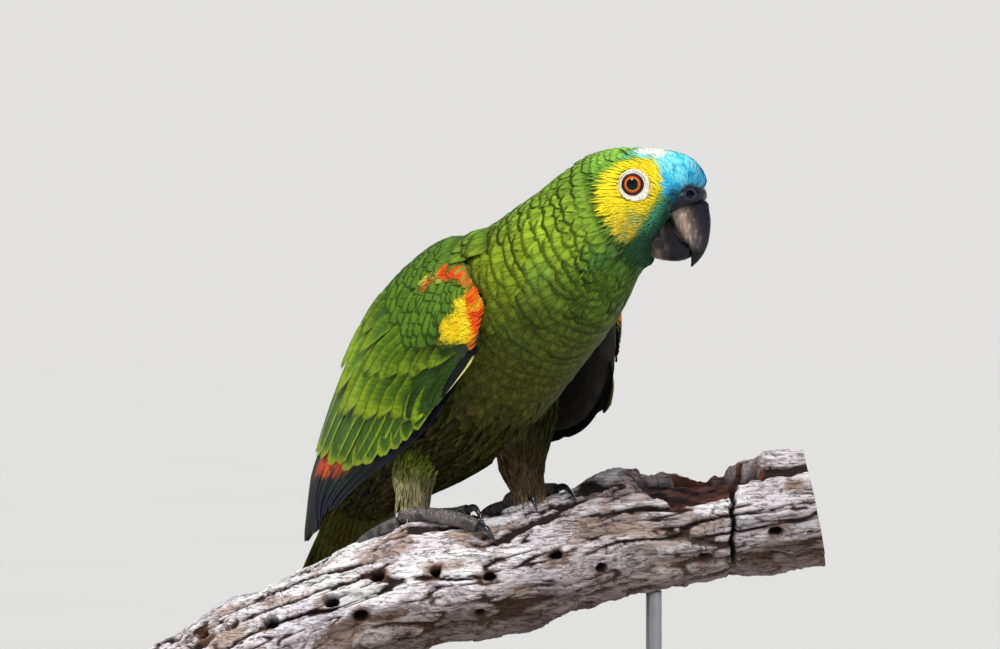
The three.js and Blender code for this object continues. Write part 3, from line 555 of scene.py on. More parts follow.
# ---------- Materials ----------


def srgb(r, g, b):
    """A colour of 0 to 255 values, as a linear one."""
    c = np.array((r, g, b)) / 255
    return np.where(c <= 0.04045, c / 12.92, ((c + 0.055) / 1.055) ** 2.4)


class Value:
    """A socket's number, so that sums on it add Math nodes."""

    def __init__(self, finish, socket):
        self.finish = finish
        self.socket = socket

    def math(self, operation, *others):
        return self.finish.node("ShaderNodeMath", {"operation": operation}, dict(enumerate((self,) + others)))

    def __add__(self, other):
        return self.math("ADD", other)

    def __mul__(self, other):
        return self.math("MULTIPLY", other)

    def __sub__(self, other):
        return self.math("SUBTRACT", other)

    def __rsub__(self, other):
        return self.finish.node("ShaderNodeMath", {"operation": "SUBTRACT"}, {0: other, 1: self})

    def __truediv__(self, other):
        return self.math("DIVIDE", other)

    __radd__ = __add__
    __rmul__ = __mul__

    def step(self, low, high):
        """Turns smoothly from 0 to 1 between low and high."""
        inputs = {"Value": self, "From Min": low, "From Max": high}
        return self.finish.node("ShaderNodeMapRange", {"interpolation_type": "SMOOTHSTEP"}, inputs)


def set_ramp(ramp, stops):
    while len(ramp.elements) < len(stops):
        ramp.elements.new(0.5)
    for element, (at, colour) in zip(ramp.elements, stops):
        element.position = at
        element.color = (*colour, 1)


class Finish:
    """A material whose nodes are added by call, with one Principled shader."""

    def __init__(self, name, **fixed):
        self.material = bpy.data.materials.new(name)
        self.material.use_nodes = True
        self.tree = self.material.node_tree
        self.tree.nodes.clear()
        self.shader = self.tree.nodes.new("ShaderNodeBsdfPrincipled")
        output = self.tree.nodes.new("ShaderNodeOutputMaterial")
        self.tree.links.new(self.shader.outputs["BSDF"], output.inputs["Surface"])
        for socket, value in fixed.items():
            self.shader.inputs[socket.replace("_", " ")].default_value = value

    def put(self, socket, value):
        if isinstance(value, Value):
            self.tree.links.new(value.socket, socket)
        elif isinstance(value, (tuple, list, np.ndarray)) and socket.type == "RGBA":
            socket.default_value = (*value, 1)
        else:
            socket.default_value = value

    def node(self, kind, settings=None, inputs=None, output=0):
        made = self.tree.nodes.new(kind)
        for key, value in (settings or {}).items():
            if key == "stops":
                set_ramp(made.color_ramp, value)
            else:
                setattr(made, key, value)
        for key, value in (inputs or {}).items():
            self.put(made.inputs[key], value)
        return Value(self, made.outputs[output])

    def mix(self, share, a, b, way="MIX"):
        """A colour between two, by a share."""
        settings = {"data_type": "RGBA", "blend_type": way}
        return self.node("ShaderNodeMix", settings, {0: share, 6: a, 7: b}, output=2)

    def shaded(self, colour, factor):
        """A colour made darker or brighter by a number."""
        grey = self.node("ShaderNodeCombineXYZ", {}, {0: factor, 1: factor, 2: factor})
        return self.node("ShaderNodeVectorMath", {"operation": "MULTIPLY"}, {0: colour, 1: grey})

    def grain(self, size, detail=4, rough=0.55, stretch=None):
        """Noise in the object's own space, with lumps about as wide as size, in millimetres."""
        at = self.node("ShaderNodeTexCoord", output="Object")
        if stretch:
            at = self.node("ShaderNodeVectorMath", {"operation": "MULTIPLY"}, {0: at, 1: stretch})
        inputs = {"Vector": at, "Scale": 1 / (size * MM), "Detail": detail, "Roughness": rough}
        return self.node("ShaderNodeTexNoise", {}, inputs)

    def attribute(self, name, output="Fac"):
        return self.node("ShaderNodeAttribute", {"attribute_name": name}, output=output)

    def bump(self, height, strength, distance):
        inputs = {"Height": height, "Strength": strength, "Distance": distance * MM}
        return self.node("ShaderNodeBump", {}, inputs)

    def set(self, **links):
        for socket, value in links.items():
            self.put(self.shader.inputs[socket.replace("_", " ")], value)
        return self.material


def feather_finish(name, pitch, barb_depth, streaks, rim, sheen, roughness):
    """Vanes: barbs that run out from the shaft, darker rims by the tint's share, and fine variation."""
    f = Finish(name, Sheen_Weight=sheen, Sheen_Roughness=0.4, Specular_IOR_Level=0.08)
    tint = f.attribute("Tint", "Color")
    share = f.attribute("Tint", "Alpha")
    vane = f.node("ShaderNodeUVMap", {"uv_map": "Vane"})
    across = f.node("ShaderNodeSeparateXYZ", {}, {0: vane}, output=0)
    along = f.node("ShaderNodeSeparateXYZ", {}, {0: vane}, output=1)
    side = (across * 2 - 1).math("ABSOLUTE")
    patchy = f.grain(3.5, 3)
    fine = f.grain(0.45, 2, 0.6)
    barb = f.attribute("Barb")
    bent = barb + (fine - 0.5) * 0.25 + (patchy - 0.5) * 1.0
    wave = (bent * (2 * math.pi / pitch)).math("SINE") * 0.5 + 0.5
    uneven = patchy.step(0.3, 0.7)
    strand = f.node("ShaderNodeCombineXYZ", {}, {0: barb * 0.75, 1: along * 2, 2: patchy * 2})
    inputs = {"Vector": strand, "Scale": 1.0, "Detail": 2.0}
    streak = f.node("ShaderNodeTexNoise", {}, inputs).step(0.36, 0.64)
    edge = along + side * side * 0.03 + (fine - 0.5) * 0.16
    dark = edge.step(*rim) * share
    shaft = side.step(0.05, 0.0) * 0.25
    level = (1 - wave * barb_depth * (0.4 + 0.6 * uneven)) * (0.86 + patchy * 0.28)
    level = level * (1 - streaks + streak * (1.6 * streaks)) + shaft * 0.3
    colour = f.mix(dark.math("MINIMUM", 0.95), f.shaded(tint, level), f.shaded(tint, 0.1))
    height = wave * 0.5 + fine * 0.3 + streak * 0.6 + shaft
    return f.set(
        Base_Color=colour,
        Roughness=roughness + (fine - 0.5) * 0.25 + wave * 0.06,
        Normal=f.bump(height, 0.5, 0.12),
    )


def tinted_finish(name, lumps, grain, depth, roughness, spread=0.1, bump=0.4, **fixed):
    """A surface whose main colour is its tint, with lumps and fine grain in colour, gloss and height."""
    f = Finish(name, **fixed)
    tint = f.attribute("Tint", "Color")
    coarse, fine = f.grain(lumps, 4), f.grain(grain, 3, 0.65)
    level = 1 + (coarse - 0.5) * depth + (fine - 0.5) * depth
    return f.set(
        Base_Color=f.shaded(tint, level),
        Roughness=roughness + (coarse - 0.5) * spread + (fine - 0.5) * spread,
        Normal=f.bump(fine * 0.6 + coarse * 0.4, bump, grain * 0.5),
    )


IRIS = [
    (0.0, srgb(3, 3, 4)), (0.43, srgb(7, 7, 6)), (0.47, srgb(96, 96, 40)), (0.505, srgb(204, 150, 44)),
    (0.56, srgb(226, 92, 24)), (0.65, srgb(190, 46, 14)), (0.7, srgb(110, 24, 10)), (0.735, srgb(12, 8, 7)),
]


def iris_finish():
    """A wet eye: dark pupil, thin yellow-green ring, orange iris with streaks, dark border."""
    f = Finish("eye", Coat_Weight=0.35, Coat_Roughness=0.02, Specular_IOR_Level=0.1)
    out, turn = f.attribute("Out"), f.attribute("Turn")
    place = f.node("ShaderNodeCombineXYZ", {}, {0: turn * 26, 1: out * 1.2})
    inputs = {"Vector": place, "Scale": 1, "Detail": 3}
    streak = f.node("ShaderNodeTexNoise", {"noise_dimensions": "2D"}, inputs)
    at = out + (streak - 0.5) * 0.12
    ring = f.node("ShaderNodeValToRGB", {"stops": IRIS}, {"Fac": at / 6})
    return f.set(Base_Color=f.shaded(ring, 0.8 + streak * 0.45), Roughness=0.16 + streak * 0.08)


def bark_finish():
    f = Finish("weathered_bark", Specular_IOR_Level=0.2)
    tint = f.attribute("Tint", "Color")
    fibre = f.grain(1.5, 5, 0.7, stretch=(0.14, 1, 1))
    crack = (f.grain(2.6, 3, 0.6, stretch=(0.13, 1, 1)) - 0.5).math("ABSOLUTE").step(0.035, 0.0)
    speck = f.grain(0.8, 4, 0.75)
    patch = f.grain(11, 4, 0.6)
    colour = f.shaded(tint, 0.5 + fibre * 0.6 + speck * 0.4)
    stain = f.mix(patch.step(0.5, 0.72) * 0.5, colour, srgb(136, 104, 82), "MULTIPLY")
    colour = f.mix(crack * patch.step(0.3, 0.6) * 0.75, stain, srgb(58, 40, 34))
    return f.set(
        Base_Color=colour,
        Roughness=0.8 + (fibre - 0.5) * 0.25,
        Normal=f.bump(fibre * 0.7 + speck * 0.5 - crack * 0.6, 1.0, 0.9),
    )


def wood_finish():
    f = Finish("oiled_wood", Coat_Weight=0.25, Coat_Roughness=0.25)
    ring = f.grain(5, 3, 0.5, stretch=(0.06, 1, 1))
    line = (ring * 34).math("SINE") * 0.5 + 0.5
    pore = f.grain(0.6, 4, 0.7, stretch=(0.05, 1, 1))
    cloud = f.grain(45, 3)
    base = f.mix(line * 0.6 + cloud * 0.25, srgb(58, 38, 25), srgb(112, 78, 50))
    return f.set(
        Base_Color=f.shaded(base, 0.75 + pore * 0.5),
        Roughness=0.42 + (pore - 0.5) * 0.3 + line * 0.06,
        Normal=f.bump(pore, 0.5, 0.15),
    )


def steel_finish():
    f = Finish("brushed_steel", Metallic=1.0)
    line = f.grain(0.5, 3, 0.6, stretch=(1, 1, 0.03))
    cloud = f.grain(18, 3)
    return f.set(
        Base_Color=f.mix(cloud, srgb(140, 142, 146), srgb(172, 174, 178)),
        Roughness=0.28 + line * 0.22,
        Normal=f.bump(line, 0.3, 0.05),
    )


def floor_finish():
    f = Finish("studio_floor", Specular_IOR_Level=0.2)
    cloud = f.grain(600, 2)
    return f.set(Base_Color=f.mix(cloud, srgb(206, 206, 205), srgb(212, 212, 211)), Roughness=0.9)


CONTOUR = feather_finish("body_feather", 0.85, 0.3, 0.36, (0.875, 0.955), 0.05, 0.6)
COVERT = feather_finish("covert_feather", 0.85, 0.25, 0.12, (0.86, 0.96), 0.05, 0.55)
FACE = feather_finish("face_feather", 0.7, 0.22, 0.12, (0.86, 0.99), 0.05, 0.62)
FLIGHT = feather_finish("wing_feather", 0.85, 0.24, 0.24, (0.93, 0.995), 0.04, 0.46)
# The skin and the wing's flesh under the coat; their tints carry painted shade.
SKIN = tinted_finish("shaded_under_down", 2.5, 0.6, 0.4, 0.8, Sheen_Weight=0.1)
HORN = tinted_finish(
    "bill_horn", 4, 0.5, 0.4, 0.3, 0.25, 0.3, Specular_IOR_Level=0.1, Coat_Weight=0.26, Coat_Roughness=0.08
)
CLAW = tinted_finish("claw_horn", 2, 0.4, 0.3, 0.26, 0.2, 0.25, Coat_Weight=0.5, Coat_Roughness=0.1)
CERE_SKIN = tinted_finish("cere_skin", 1.6, 0.35, 0.45, 0.42, 0.2, 0.6, Specular_IOR_Level=0.3)
LID_SKIN = tinted_finish(
    "eyelid_skin", 1.2, 0.3, 0.16, 0.5, 0.15, 0.5, Subsurface_Weight=0.15, Subsurface_Scale=0.001
)
SCALE_SKIN = tinted_finish("foot_scale", 1.5, 0.35, 0.4, 0.55, 0.2, 0.5)
EYE = iris_finish()
BARK = bark_finish()
WOOD = wood_finish()
STEEL = steel_finish()
FLOOR = floor_finish()


# ---------- Camera, light and floor ----------


def set_camera():
    lens = bpy.data.cameras.new("camera")
    lens.lens = CAMERA["lens"]
    lens.sensor_width = CAMERA["sensor"]
    lens.clip_end = CAMERA["clip"]
    camera = bpy.data.objects.new("camera", lens)
    camera.location = (CAMERA["x"] * MM, -CAMERA["distance"] * MM, CAMERA["z"] * MM)
    camera.rotation_euler = (math.pi / 2, 0, 0)
    bpy.context.scene.collection.objects.link(camera)
    bpy.context.scene.camera = camera


def sun_light(name, way, power, spread, colour):
    lamp = bpy.data.lights.new(name, "SUN")
    lamp.energy = power
    lamp.angle = math.radians(spread)
    lamp.color = colour
    made = bpy.data.objects.new(name, lamp)
    made.rotation_euler = Vector(way).to_track_quat("-Z", "Y").to_euler()
    bpy.context.scene.collection.objects.link(made)


# Suns: name, way, power, spread in degrees and colour.
SUNS = [
    ("key", (0.22, 0.72, -1.0), 2.9, 14, (1.0, 0.98, 0.94)),
    ("fill", (-0.8, 0.9, -0.35), 0.35, 60, (0.95, 0.97, 1.0)),
    ("back", (-0.4, -1.0, -0.7), 0.8, 40, (1, 1, 1)),
]
SKY_STOPS = [(0.07, (0.76, 0.755, 0.745)), (0.2, (0.26, 0.27, 0.29))]  # from the horizon up


def set_studio():
    for sun in SUNS:
        sun_light(*sun)
    world = bpy.data.worlds.new("studio")
    world.use_nodes = True
    nodes, links = world.node_tree.nodes, world.node_tree.links
    sky = nodes["Background"]
    way, apart, ramp = (nodes.new(f"ShaderNode{kind}") for kind in ("TexCoord", "SeparateXYZ", "ValToRGB"))
    links.new(way.outputs["Generated"], apart.inputs[0])
    links.new(apart.outputs["Z"], ramp.inputs["Fac"])
    set_ramp(ramp.color_ramp, SKY_STOPS)
    links.new(ramp.outputs["Color"], sky.inputs["Color"])
    bpy.context.scene.world = world
    bpy.context.scene.view_settings.view_transform = "Standard"
    corners = np.array([(-1, -1, 0), (1, -1, 0), (1, 1, 0), (-1, 1, 0)]) * FLOOR_PLANE["half"]
    floor = mesh_piece("floor", corners + UP * FLOOR_PLANE["up"], [range(4)])
    floor.data.materials.append(FLOOR)


set_camera()
set_studio()


# ---------- Markings ----------


def outline_share(points, outline, soft):
    """How far inside an outline points lie, from 0 outside to 1 inside, softened over the edge."""
    outline = np.asarray(outline, float)
    flat = points.reshape(-1, 2)
    nearest = np.full(len(flat), 1e9)
    crossings = np.zeros(len(flat), bool)
    for a, b in zip(outline, np.roll(outline, -1, 0)):
        edge = b - a
        share = np.clip(((flat - a) @ edge) / (edge @ edge), 0, 1)
        nearest = np.minimum(nearest, np.linalg.norm(flat - a - share[:, None] * edge, axis=1))
        spans = (a[1] > flat[:, 1]) != (b[1] > flat[:, 1])
        rise = b[1] - a[1] if b[1] != a[1] else 1e-9
        crossings ^= spans & (flat[:, 0] < (b[0] - a[0]) * (flat[:, 1] - a[1]) / rise + a[0])
    signed = np.where(crossings, nearest, -nearest)
    return ease(-soft, soft, signed).reshape(points.shape[:-1])


# The body's ground colours along it from tail to bill, each for the back, the side and the belly. The
# breast's, sides' and belly's are their own olive, darkened further as painted shade for the body's underside
# turned from the light.
GROUND = [
    (srgb(86, 122, 34), srgb(80, 94, 24), srgb(66, 62, 22)),
    (srgb(88, 124, 34), srgb(68, 80, 22), srgb(58, 54, 20)),
    (srgb(92, 130, 36), srgb(62, 74, 20), srgb(56, 54, 20)),
    (srgb(100, 138, 40), srgb(92, 106, 26), srgb(72, 78, 24)),
    (srgb(112, 148, 42), srgb(126, 146, 32), srgb(84, 98, 28)),
    (srgb(122, 160, 46), srgb(136, 166, 42), srgb(92, 124, 36)),
    (srgb(112, 154, 50), srgb(116, 150, 46), srgb(74, 108, 44)),
    (srgb(126, 176, 66), srgb(92, 142, 48), srgb(52, 84, 44)),
    (srgb(130, 182, 76), srgb(104, 156, 60), srgb(46, 78, 50)),
    (srgb(104, 166, 110), srgb(80, 140, 110), srgb(44, 84, 66)),
]
GROUND_AT = [0, 0.13, 0.26, 0.38, 0.47, 0.55, 0.61, 0.67, 0.78, 1]

YELLOW, DEEP_YELLOW, OCHRE = srgb(255, 240, 52), srgb(252, 222, 34), srgb(214, 178, 62)
CREAM, SKY, BLUE, DEEP_BLUE = srgb(255, 254, 244), srgb(150, 250, 255), srgb(70, 208, 255), srgb(24, 116, 170)
TURQUOISE, TEAL, LORE = srgb(96, 178, 140), srgb(52, 92, 62), srgb(20, 38, 44)
RED = srgb(224, 38, 16)

# Outlines on the side of the head, as ahead and up of the eyes' middle.
YELLOW_FACE = [
    (-8, 9.8), (-1, 11.8), (6, 13), (12.6, 10.4), (14.8, 4),
    (14.6, -3.5), (12.2, -9), (9.0, -13.5), (6.3, -18.6),
    (3.2, -24), (-2.4, -29), (-7.6, -24.5), (-11.6, -19), (-16.6, -13), (-17.2, -4), (-15.8, 4.5),
]
CREAM_PATCH = [
    (-1.5, 14.6), (-0.6, 17), (4, 19), (10, 18.6), (14.4, 16), (14.2, 13.6), (9.4, 12.6), (8, 14.2), (3, 15),
]
FOREHEAD = [
    (-3, 15.4), (3, 20), (16, 20), (30, 12), (36, 0),
    (32, -10), (20, -9.4), (15.4, -5.6), (14.0, 3), (12.0, 9.4),
    (8.6, 12.2), (2, 13.4),
]
GILL = [
    (15.4, -3.5), (13, -10), (9.6, -14.5), (6.6, -19), (3, -25), (-3.4, -32), (2, -38), (12, -36), (16, -22),
    (19, -9),
]
NOSTRIL = {"at": (26.6, 8.5, -5.4), "aim": (0.25, 1, 0.1), "radius": 1.7, "depth": 2.4}
# The lores' strip along the bill's root: dark teal of its own, and painted shade where the face meets the
# bill.
LORES = [
    (24, -1), (18.5, -2.5), (16.5, -8), (13.5, -14.5), (10.5, -21), (8, -27), (6.5, -33), (9, -37), (20, -20),
    (26, -8),
]
SKY_SPOT = [(-7, 12.6), (-5, 15.4), (-1.6, 16.6), (-1, 13.2), (-3, 11.6)]

# The dark of the feathers' rims along the body.
RIM_AT = [0, 0.3, 0.45, 0.5, 0.55, 0.61, 0.66, 0.7, 1]
RIMS = [0.3, 0.4, 0.75, 0.95, 1.15, 1.15, 0.95, 0.55, 0.35]


def outlines_share(points, outlines, soft):
    return np.maximum.reduce([outline_share(points, outline, soft) for outline in outlines])


def off_nostril(head):
    """How far places of the head are from the nearer nostril."""
    mirrored = np.stack([head[..., 0], np.abs(head[..., 1]), head[..., 2]], -1)
    return np.linalg.norm(mirrored - NOSTRIL["at"], axis=-1)


def body_markings(t, angle):
    """The bird's colours and the share of dark in each feather's rim, over the skin."""
    share = np.interp(t, GROUND_AT, np.arange(len(GROUND)) / (len(GROUND) - 1))
    back, side, belly = (spline([row[k] for row in GROUND], share) for k in range(3))
    up = np.cos(angle)
    colour = blend(side, back, ease(0.2, 0.85, up))
    # Towards the belly the colour goes over to the belly's, with the painted shade that it carries.
    colour = blend(colour, belly, ease(-0.1, -0.75, up))
    skin = BODY.point(t, angle)
    rim = np.interp(t, RIM_AT, RIMS) * (1 - 0.3 * ease(0.1, -0.5, up))
    rim = rim * (0.75 + 0.6 * noise(skin, 8, 4))
    sheen = ease(0.1, 0.7, noise(skin, 6, 5)) * ease(0.38, 0.5, t) * ease(0.2, -0.5, up)
    colour = blend(colour, srgb(40, 120, 72), 0.32 * sheen * ease(0.64, 0.6, t))
    wisps = ease(0.4, 0.3, t) * ease(0.5, -0.2, up)
    wisps = ease(0.25, 0.6, noise(skin, (3, 3, 12), 9)) * wisps
    colour = blend(colour, srgb(112, 104, 36), 0.55 * wisps) * (1 + 0.2 * noise(skin, 9, 3)[..., None])

    head = head_frame(skin)
    flat = head[..., [0, 2]] + noise(skin, 2.2, 8)[..., None] * 0.9
    on_head = (t > 0.56).astype(float)

    def over(base, outline, soft, paint, strength=1.0):
        return blend(base, paint, outline_share(flat, outline, soft) * on_head * strength)

    yellow = blend(YELLOW, DEEP_YELLOW, 0.5 + 0.5 * noise(skin, 5, 11))
    low = ease(-8, -24, head[..., 2] - 0.5 * head[..., 0])
    streaky = ease(-0.1, 0.5, noise(skin, (3, 3, 7), 14))
    yellow = blend(yellow, OCHRE, 0.7 * low)
    yellow = blend(yellow, srgb(110, 160, 104), low * streaky * 0.9)
    colour = over(colour, GILL, 1.6, blend(TURQUOISE, TEAL, ease(-14, -28, head[..., 2])))
    colour = over(colour, YELLOW_FACE, 1.3, yellow)
    # The blue pales towards the top of the forehead, partly its own paler feathers and partly a painted
    # highlight from above.
    high = ease(0, 10, head[..., 2])
    blue = blend(BLUE, SKY, ease(-0.2, 0.6, noise(skin, 3.2, 12) + 0.7 * high) * (0.5 + 0.5 * high))
    blue = blend(blue, DEEP_BLUE, ease(0.25, 0.7, noise(skin, 2.4, 13)) * 0.7)
    # Deeper blue towards the cere, partly the forehead's own deep blue and partly painted shade by the cere.
    blue = blend(blue, DEEP_BLUE, ease(21, 30, head[..., 0]) * 0.6)
    colour = over(colour, FOREHEAD, 1.0, blue)
    # The lores: their own dark teal with painted shade along the bill's root.
    colour = over(colour, LORES, 2.2, LORE, 0.8)
    colour = over(colour, CREAM_PATCH, 1.0, CREAM)
    colour = over(colour, SKY_SPOT, 0.7, TURQUOISE * 1.15, 0.85)
    # Painted shade round each nostril: near-black on the skin and feathers by the hole.
    colour = blend(colour, srgb(10, 14, 22), ease(6.5, 4.5, off_nostril(head)))
    return colour, rim * (1 - 0.9 * outlines_share(flat, (YELLOW_FACE, CREAM_PATCH), 2.5) * on_head)


# The thighs' colours from the body down to the knee: darker near the body, partly their own olive and partly
# painted shade under the belly, then green to pale fluff. The left thigh's are darker copies, painted shade
# on the far side.
THIGH_GROUND = {
    "right": [srgb(58, 60, 22), srgb(76, 80, 32), srgb(140, 152, 66), srgb(200, 194, 146)],
    "left": [srgb(44, 44, 18), srgb(66, 66, 32), srgb(92, 82, 50), srgb(140, 116, 84)],
}


def thigh_markings(name, t, angle):
    skin = THIGHS[name].point(t, angle)
    colour = spline(THIGH_GROUND[name], t)
    # The left thigh's fluff is a darker copy of the right's: painted shade.
    fluff = srgb(150, 150, 140) if name == "right" else srgb(120, 112, 98)
    front = ease(-0.2, 0.8, np.sin(angle)) * ease(0.3, 0.75, t)
    colour = blend(colour, fluff, 0.55 * front * ease(-0.3, 0.5, noise(skin, (5, 5, 14), 21)))
    return colour * (1 + 0.25 * noise(skin, (3, 3, 9), 22)[..., None]), np.full(t.shape, 0.2)


# ---------- Feathers ----------


def vanes(surface, root, tip, width, rows, cols, *, rise, waist=0.62, taper=0.0, tip_round=0.35, rag=0.02,
          camber=0.06, tilt=0.0, shaft=0.0, nicks=0.0, square=2.0, barbs=25):
    """Grids of points of feathers that lie along a surface, from roots to tips given as p and q.

    width is each one's full width. rise gives the height over the surface at root and tip. waist is the
    root's share of the width, taper narrows the end, tip_round draws the corners of the tip back, square
    shapes them, and rag roughens the tip. camber bends the sides down, tilt turns the vane about its shaft,
    shaft is the quill's height, nicks is the share of notches in the edge, and barbs is the barbs' lean in
    degrees.
    """
    root, tip = np.asarray(root, float), np.asarray(tip, float)
    n = len(root)
    each = (np.broadcast_to(value, (n,))[:, None, None] for value in (width, *rise, taper, tip_round, tilt))
    width, low, high, taper, tip_round, tilt = each
    v = np.linspace(0, 1, rows)[None, :, None]
    u = np.linspace(-1, 1, cols)[None, None, :]
    ragged = rng.normal(0, 1, (n, 1, cols)) * rag * v**8
    reach = v - tip_round * np.abs(u) ** square * v**1.5 + ragged
    line = (tip - root)[:, None, :]
    middle = root[:, None, :] + line * v[0, :, 0][None, :, None]
    sp, sq, normal = surface.frame(middle[..., 0], middle[..., 1])
    along = sp * line[..., :1] + sq * line[..., 1:]
    length = np.linalg.norm(along, axis=-1).mean(1)
    rates = surface.rates(sp, sq, np.cross(normal, unit(along)))
    grown = waist + (1 - waist) * ease(0, 0.45, v)
    half = width / 2 * grown * (1 - taper * ease(0.45, 1.0, v))
    if nicks:
        notch = rng.random((n, rows, 2)) < nicks
        cut = np.where(u < 0, notch[..., :1], notch[..., 1:]) * np.abs(u) ** 6
        half = half * (1 - 0.16 * cut * (v > 0.3) * (v < 0.97))
    place = root[:, None, None, :] + line[:, None, :, :] * reach[..., None]
    place = place + (u * half)[..., None] * rates[:, :, None, :]
    points = surface.point(place[..., 0], place[..., 1])
    out = surface.normal(place[..., 0], place[..., 1])
    height = low + (high - low) * v - camber * half * u**2 + tilt * u * half
    height = height + shaft * np.exp(-((u / 0.09) ** 2)) * (1 - 0.6 * v)
    points = points + out * height[..., None]
    lean = math.radians(barbs)
    barb = math.sin(lean) * reach * length[:, None, None] - math.cos(lean) * np.abs(u) * half
    u, v = u + 0 * reach, v + 0 * reach
    return {"points": points, "out": out, "place": place, "u": u, "v": v, "barb": barb}


def tips_from(surface, root, length, turn):
    """Where feathers of a length end that lie along +p, each turned by an angle in degrees."""
    sp, _, normal = surface.frame(*root.T)
    ahead, turn = unit(sp), np.radians(turn)[:, None]
    return tips_along(surface, root, np.cos(turn) * ahead + np.sin(turn) * np.cross(normal, ahead), length)


def tips_along(surface, root, way, length):
    """Where feathers of a length end that lie as nearly along a way as the surface lets them."""
    sp, sq, normal = surface.frame(*root.T)
    flat = unit(way - normal * (way * normal).sum(-1, keepdims=True))
    return root + surface.rates(sp, sq, flat) * np.broadcast_to(length, (len(root),))[:, None]


class Coat:
    """Feathers gathered for one piece."""

    def __init__(self):
        self.shapes = []
        self.layers = {"tint": [], "barb": [], "vane": [], "patch": []}

    def add(self, grown, colour, rim, patch, size=PATCH, under=None):
        """Adds what vanes made, with a colour and a rim per point.

        patch is where each feather lies on the map, and under is the colour of an under face, if it has one:
        a face just below, mostly of that colour, which carries painted shade.
        """
        if under is not None:
            below = dict(grown, points=grown["points"] - 0.3 * grown["out"])
            self.add(below, colour * 0.15 + under * 0.85, 0.0, patch, size)
        n, rows, cols = grown["u"].shape
        across, along = (grown["u"] + 1) / 2, grown["v"]
        quads = grid_quads(rows, cols)[None] + (np.arange(n) * rows * cols)[:, None, None]
        self.shapes.append((grown["points"].reshape(-1, 3), quads.reshape(-1, 4), np.zeros((0, 3), int)))
        size = np.broadcast_to(size, (2,))
        spread = np.stack([(across - 0.5) * size[0], (along - 0.5) * size[1]], -1)
        tint = np.concatenate([colour, np.broadcast_to(rim, across.shape)[..., None]], -1)
        vane, spread = np.stack([across, along], -1), patch[:, None, None] + spread
        for key, values in (("tint", tint), ("barb", grown["barb"]), ("vane", vane), ("patch", spread)):
            self.layers[key].append(values.reshape(n * rows * cols, -1))

    def piece(self, name):
        tint, barb, vane, patch = (np.concatenate(parts) for parts in self.layers.values())
        return mesh_piece(
            name, *joined(self.shapes), tint=tint, floats={"Barb": barb}, maps={"Vane": vane, "OFBake": patch}
        )


def dress_coat(name, finish, slot, *feathers, **more):
    """A piece of one lot of feathers, given as for Coat.add."""
    coat = Coat()
    coat.add(*feathers, **more)
    dress(coat.piece(name), finish, slot)


# Along the body from tail to bill: the feathers' gaps round the body, how far apart their rows are, lengths
# against the rows, widths against the gaps, and lift of the tips.
COAT_AT = [0, 0.15, 0.4, 0.5, 0.57, 0.62, 0.66, 0.7, 0.78, 0.86, 0.93, 1]
GAPS = [5.4, 6.2, 5.6, 6.6, 5.6, 6.4, 4.6, 3.2, 2.7, 2.4, 2.1, 1.9]
STRIDES = [4.8, 5.2, 6.0, 6.6, 5.4, 3.8, 2.9, 2.4, 2.1, 1.9, 1.8, 1.7]
LENGTHS = [3.6, 3.2, 2.9, 2.7, 2.8, 3.0, 3.1, 3.2, 3.2, 3.2, 3.2, 3.2]
WIDTHS = [1.5, 1.7, 2.0, 2.1, 2.0, 1.8, 1.6, 1.5, 1.45, 1.4, 1.4, 1.4]
LIFTS = [1.6, 2.0, 2.2, 2.0, 1.6, 1.2, 1.0, 0.8, 0.7, 0.6, 0.5, 0.4]


def body_roots(scale=1.0):
    """Roots in rows round the body, staggered and a little uneven, with each one's gap and stride."""
    fine = np.linspace(0.004, 0.985, 1500)
    skin = BODY.point(*grid(fine, round_ring(48)))
    girth = np.linalg.norm(np.diff(skin, axis=1, append=skin[:, :1]), axis=-1).sum(1)
    advance = np.percentile(np.linalg.norm(np.gradient(skin, axis=0), axis=-1), 65, axis=1)
    stride = np.interp(fine, COAT_AT, STRIDES) * scale
    rows = np.cumsum(advance / stride)
    at = np.interp(np.arange(1, int(rows[-1])), rows, fine)
    made = []
    for k, t in enumerate(at):
        gap = np.interp(t, COAT_AT, GAPS) * scale
        reach = np.interp(t, fine, stride)
        count = max(6, int(round(np.interp(t, fine, girth) / gap)))
        angle = (np.arange(count) + 0.5 * (k % 2) + rng.uniform(-0.16, 0.16, count)) * 2 * math.pi / count
        wander = rng.uniform(-0.12, 0.12, count) * reach / np.interp(t, fine, advance / np.gradient(fine))
        # Neck and breast have feathers twice as broad as those of the mantle.
        broad = (0.34 < t < 0.59) & (np.cos(angle) < 0.45)
        made.append(np.stack([t + wander, angle, gap * (1 + broad), np.full(count, reach)], -1))
        made[-1] = made[-1][~broad | ((np.arange(count) + k) % 2 == 0)]
    made = np.concatenate(made)
    return made[:, :2], made[:, 2], made[:, 3]


EYE_FORM = {"out": 15.6, "up": -0.7, "radius": 6.2, "aim": (0.16, 1, 0.04)}
BARE_SKIN = [8.2, 7.8, 7.5, 6.9, 6.6, 7.0, 8.0, 9.8, 8.2]


def eye_frame(side):
    """The eyeball's middle, the way that it looks, and the ways ahead and up across it."""
    centre = in_head(0, side * EYE_FORM["out"], EYE_FORM["up"])
    aim = head_way(EYE_FORM["aim"], side)
    up = unit(UP - aim * (aim @ UP))
    ahead = unit(heading(HEAD_YAW) - aim * (aim @ heading(HEAD_YAW)))
    return centre, aim, ahead, up


def bare_reach(turn):
    """How far the bare skin round the eye reaches: widest below and ahead, narrow behind."""
    around = np.arange(0, 361, 45)
    return np.interp(np.degrees(turn) % 360, around, BARE_SKIN)


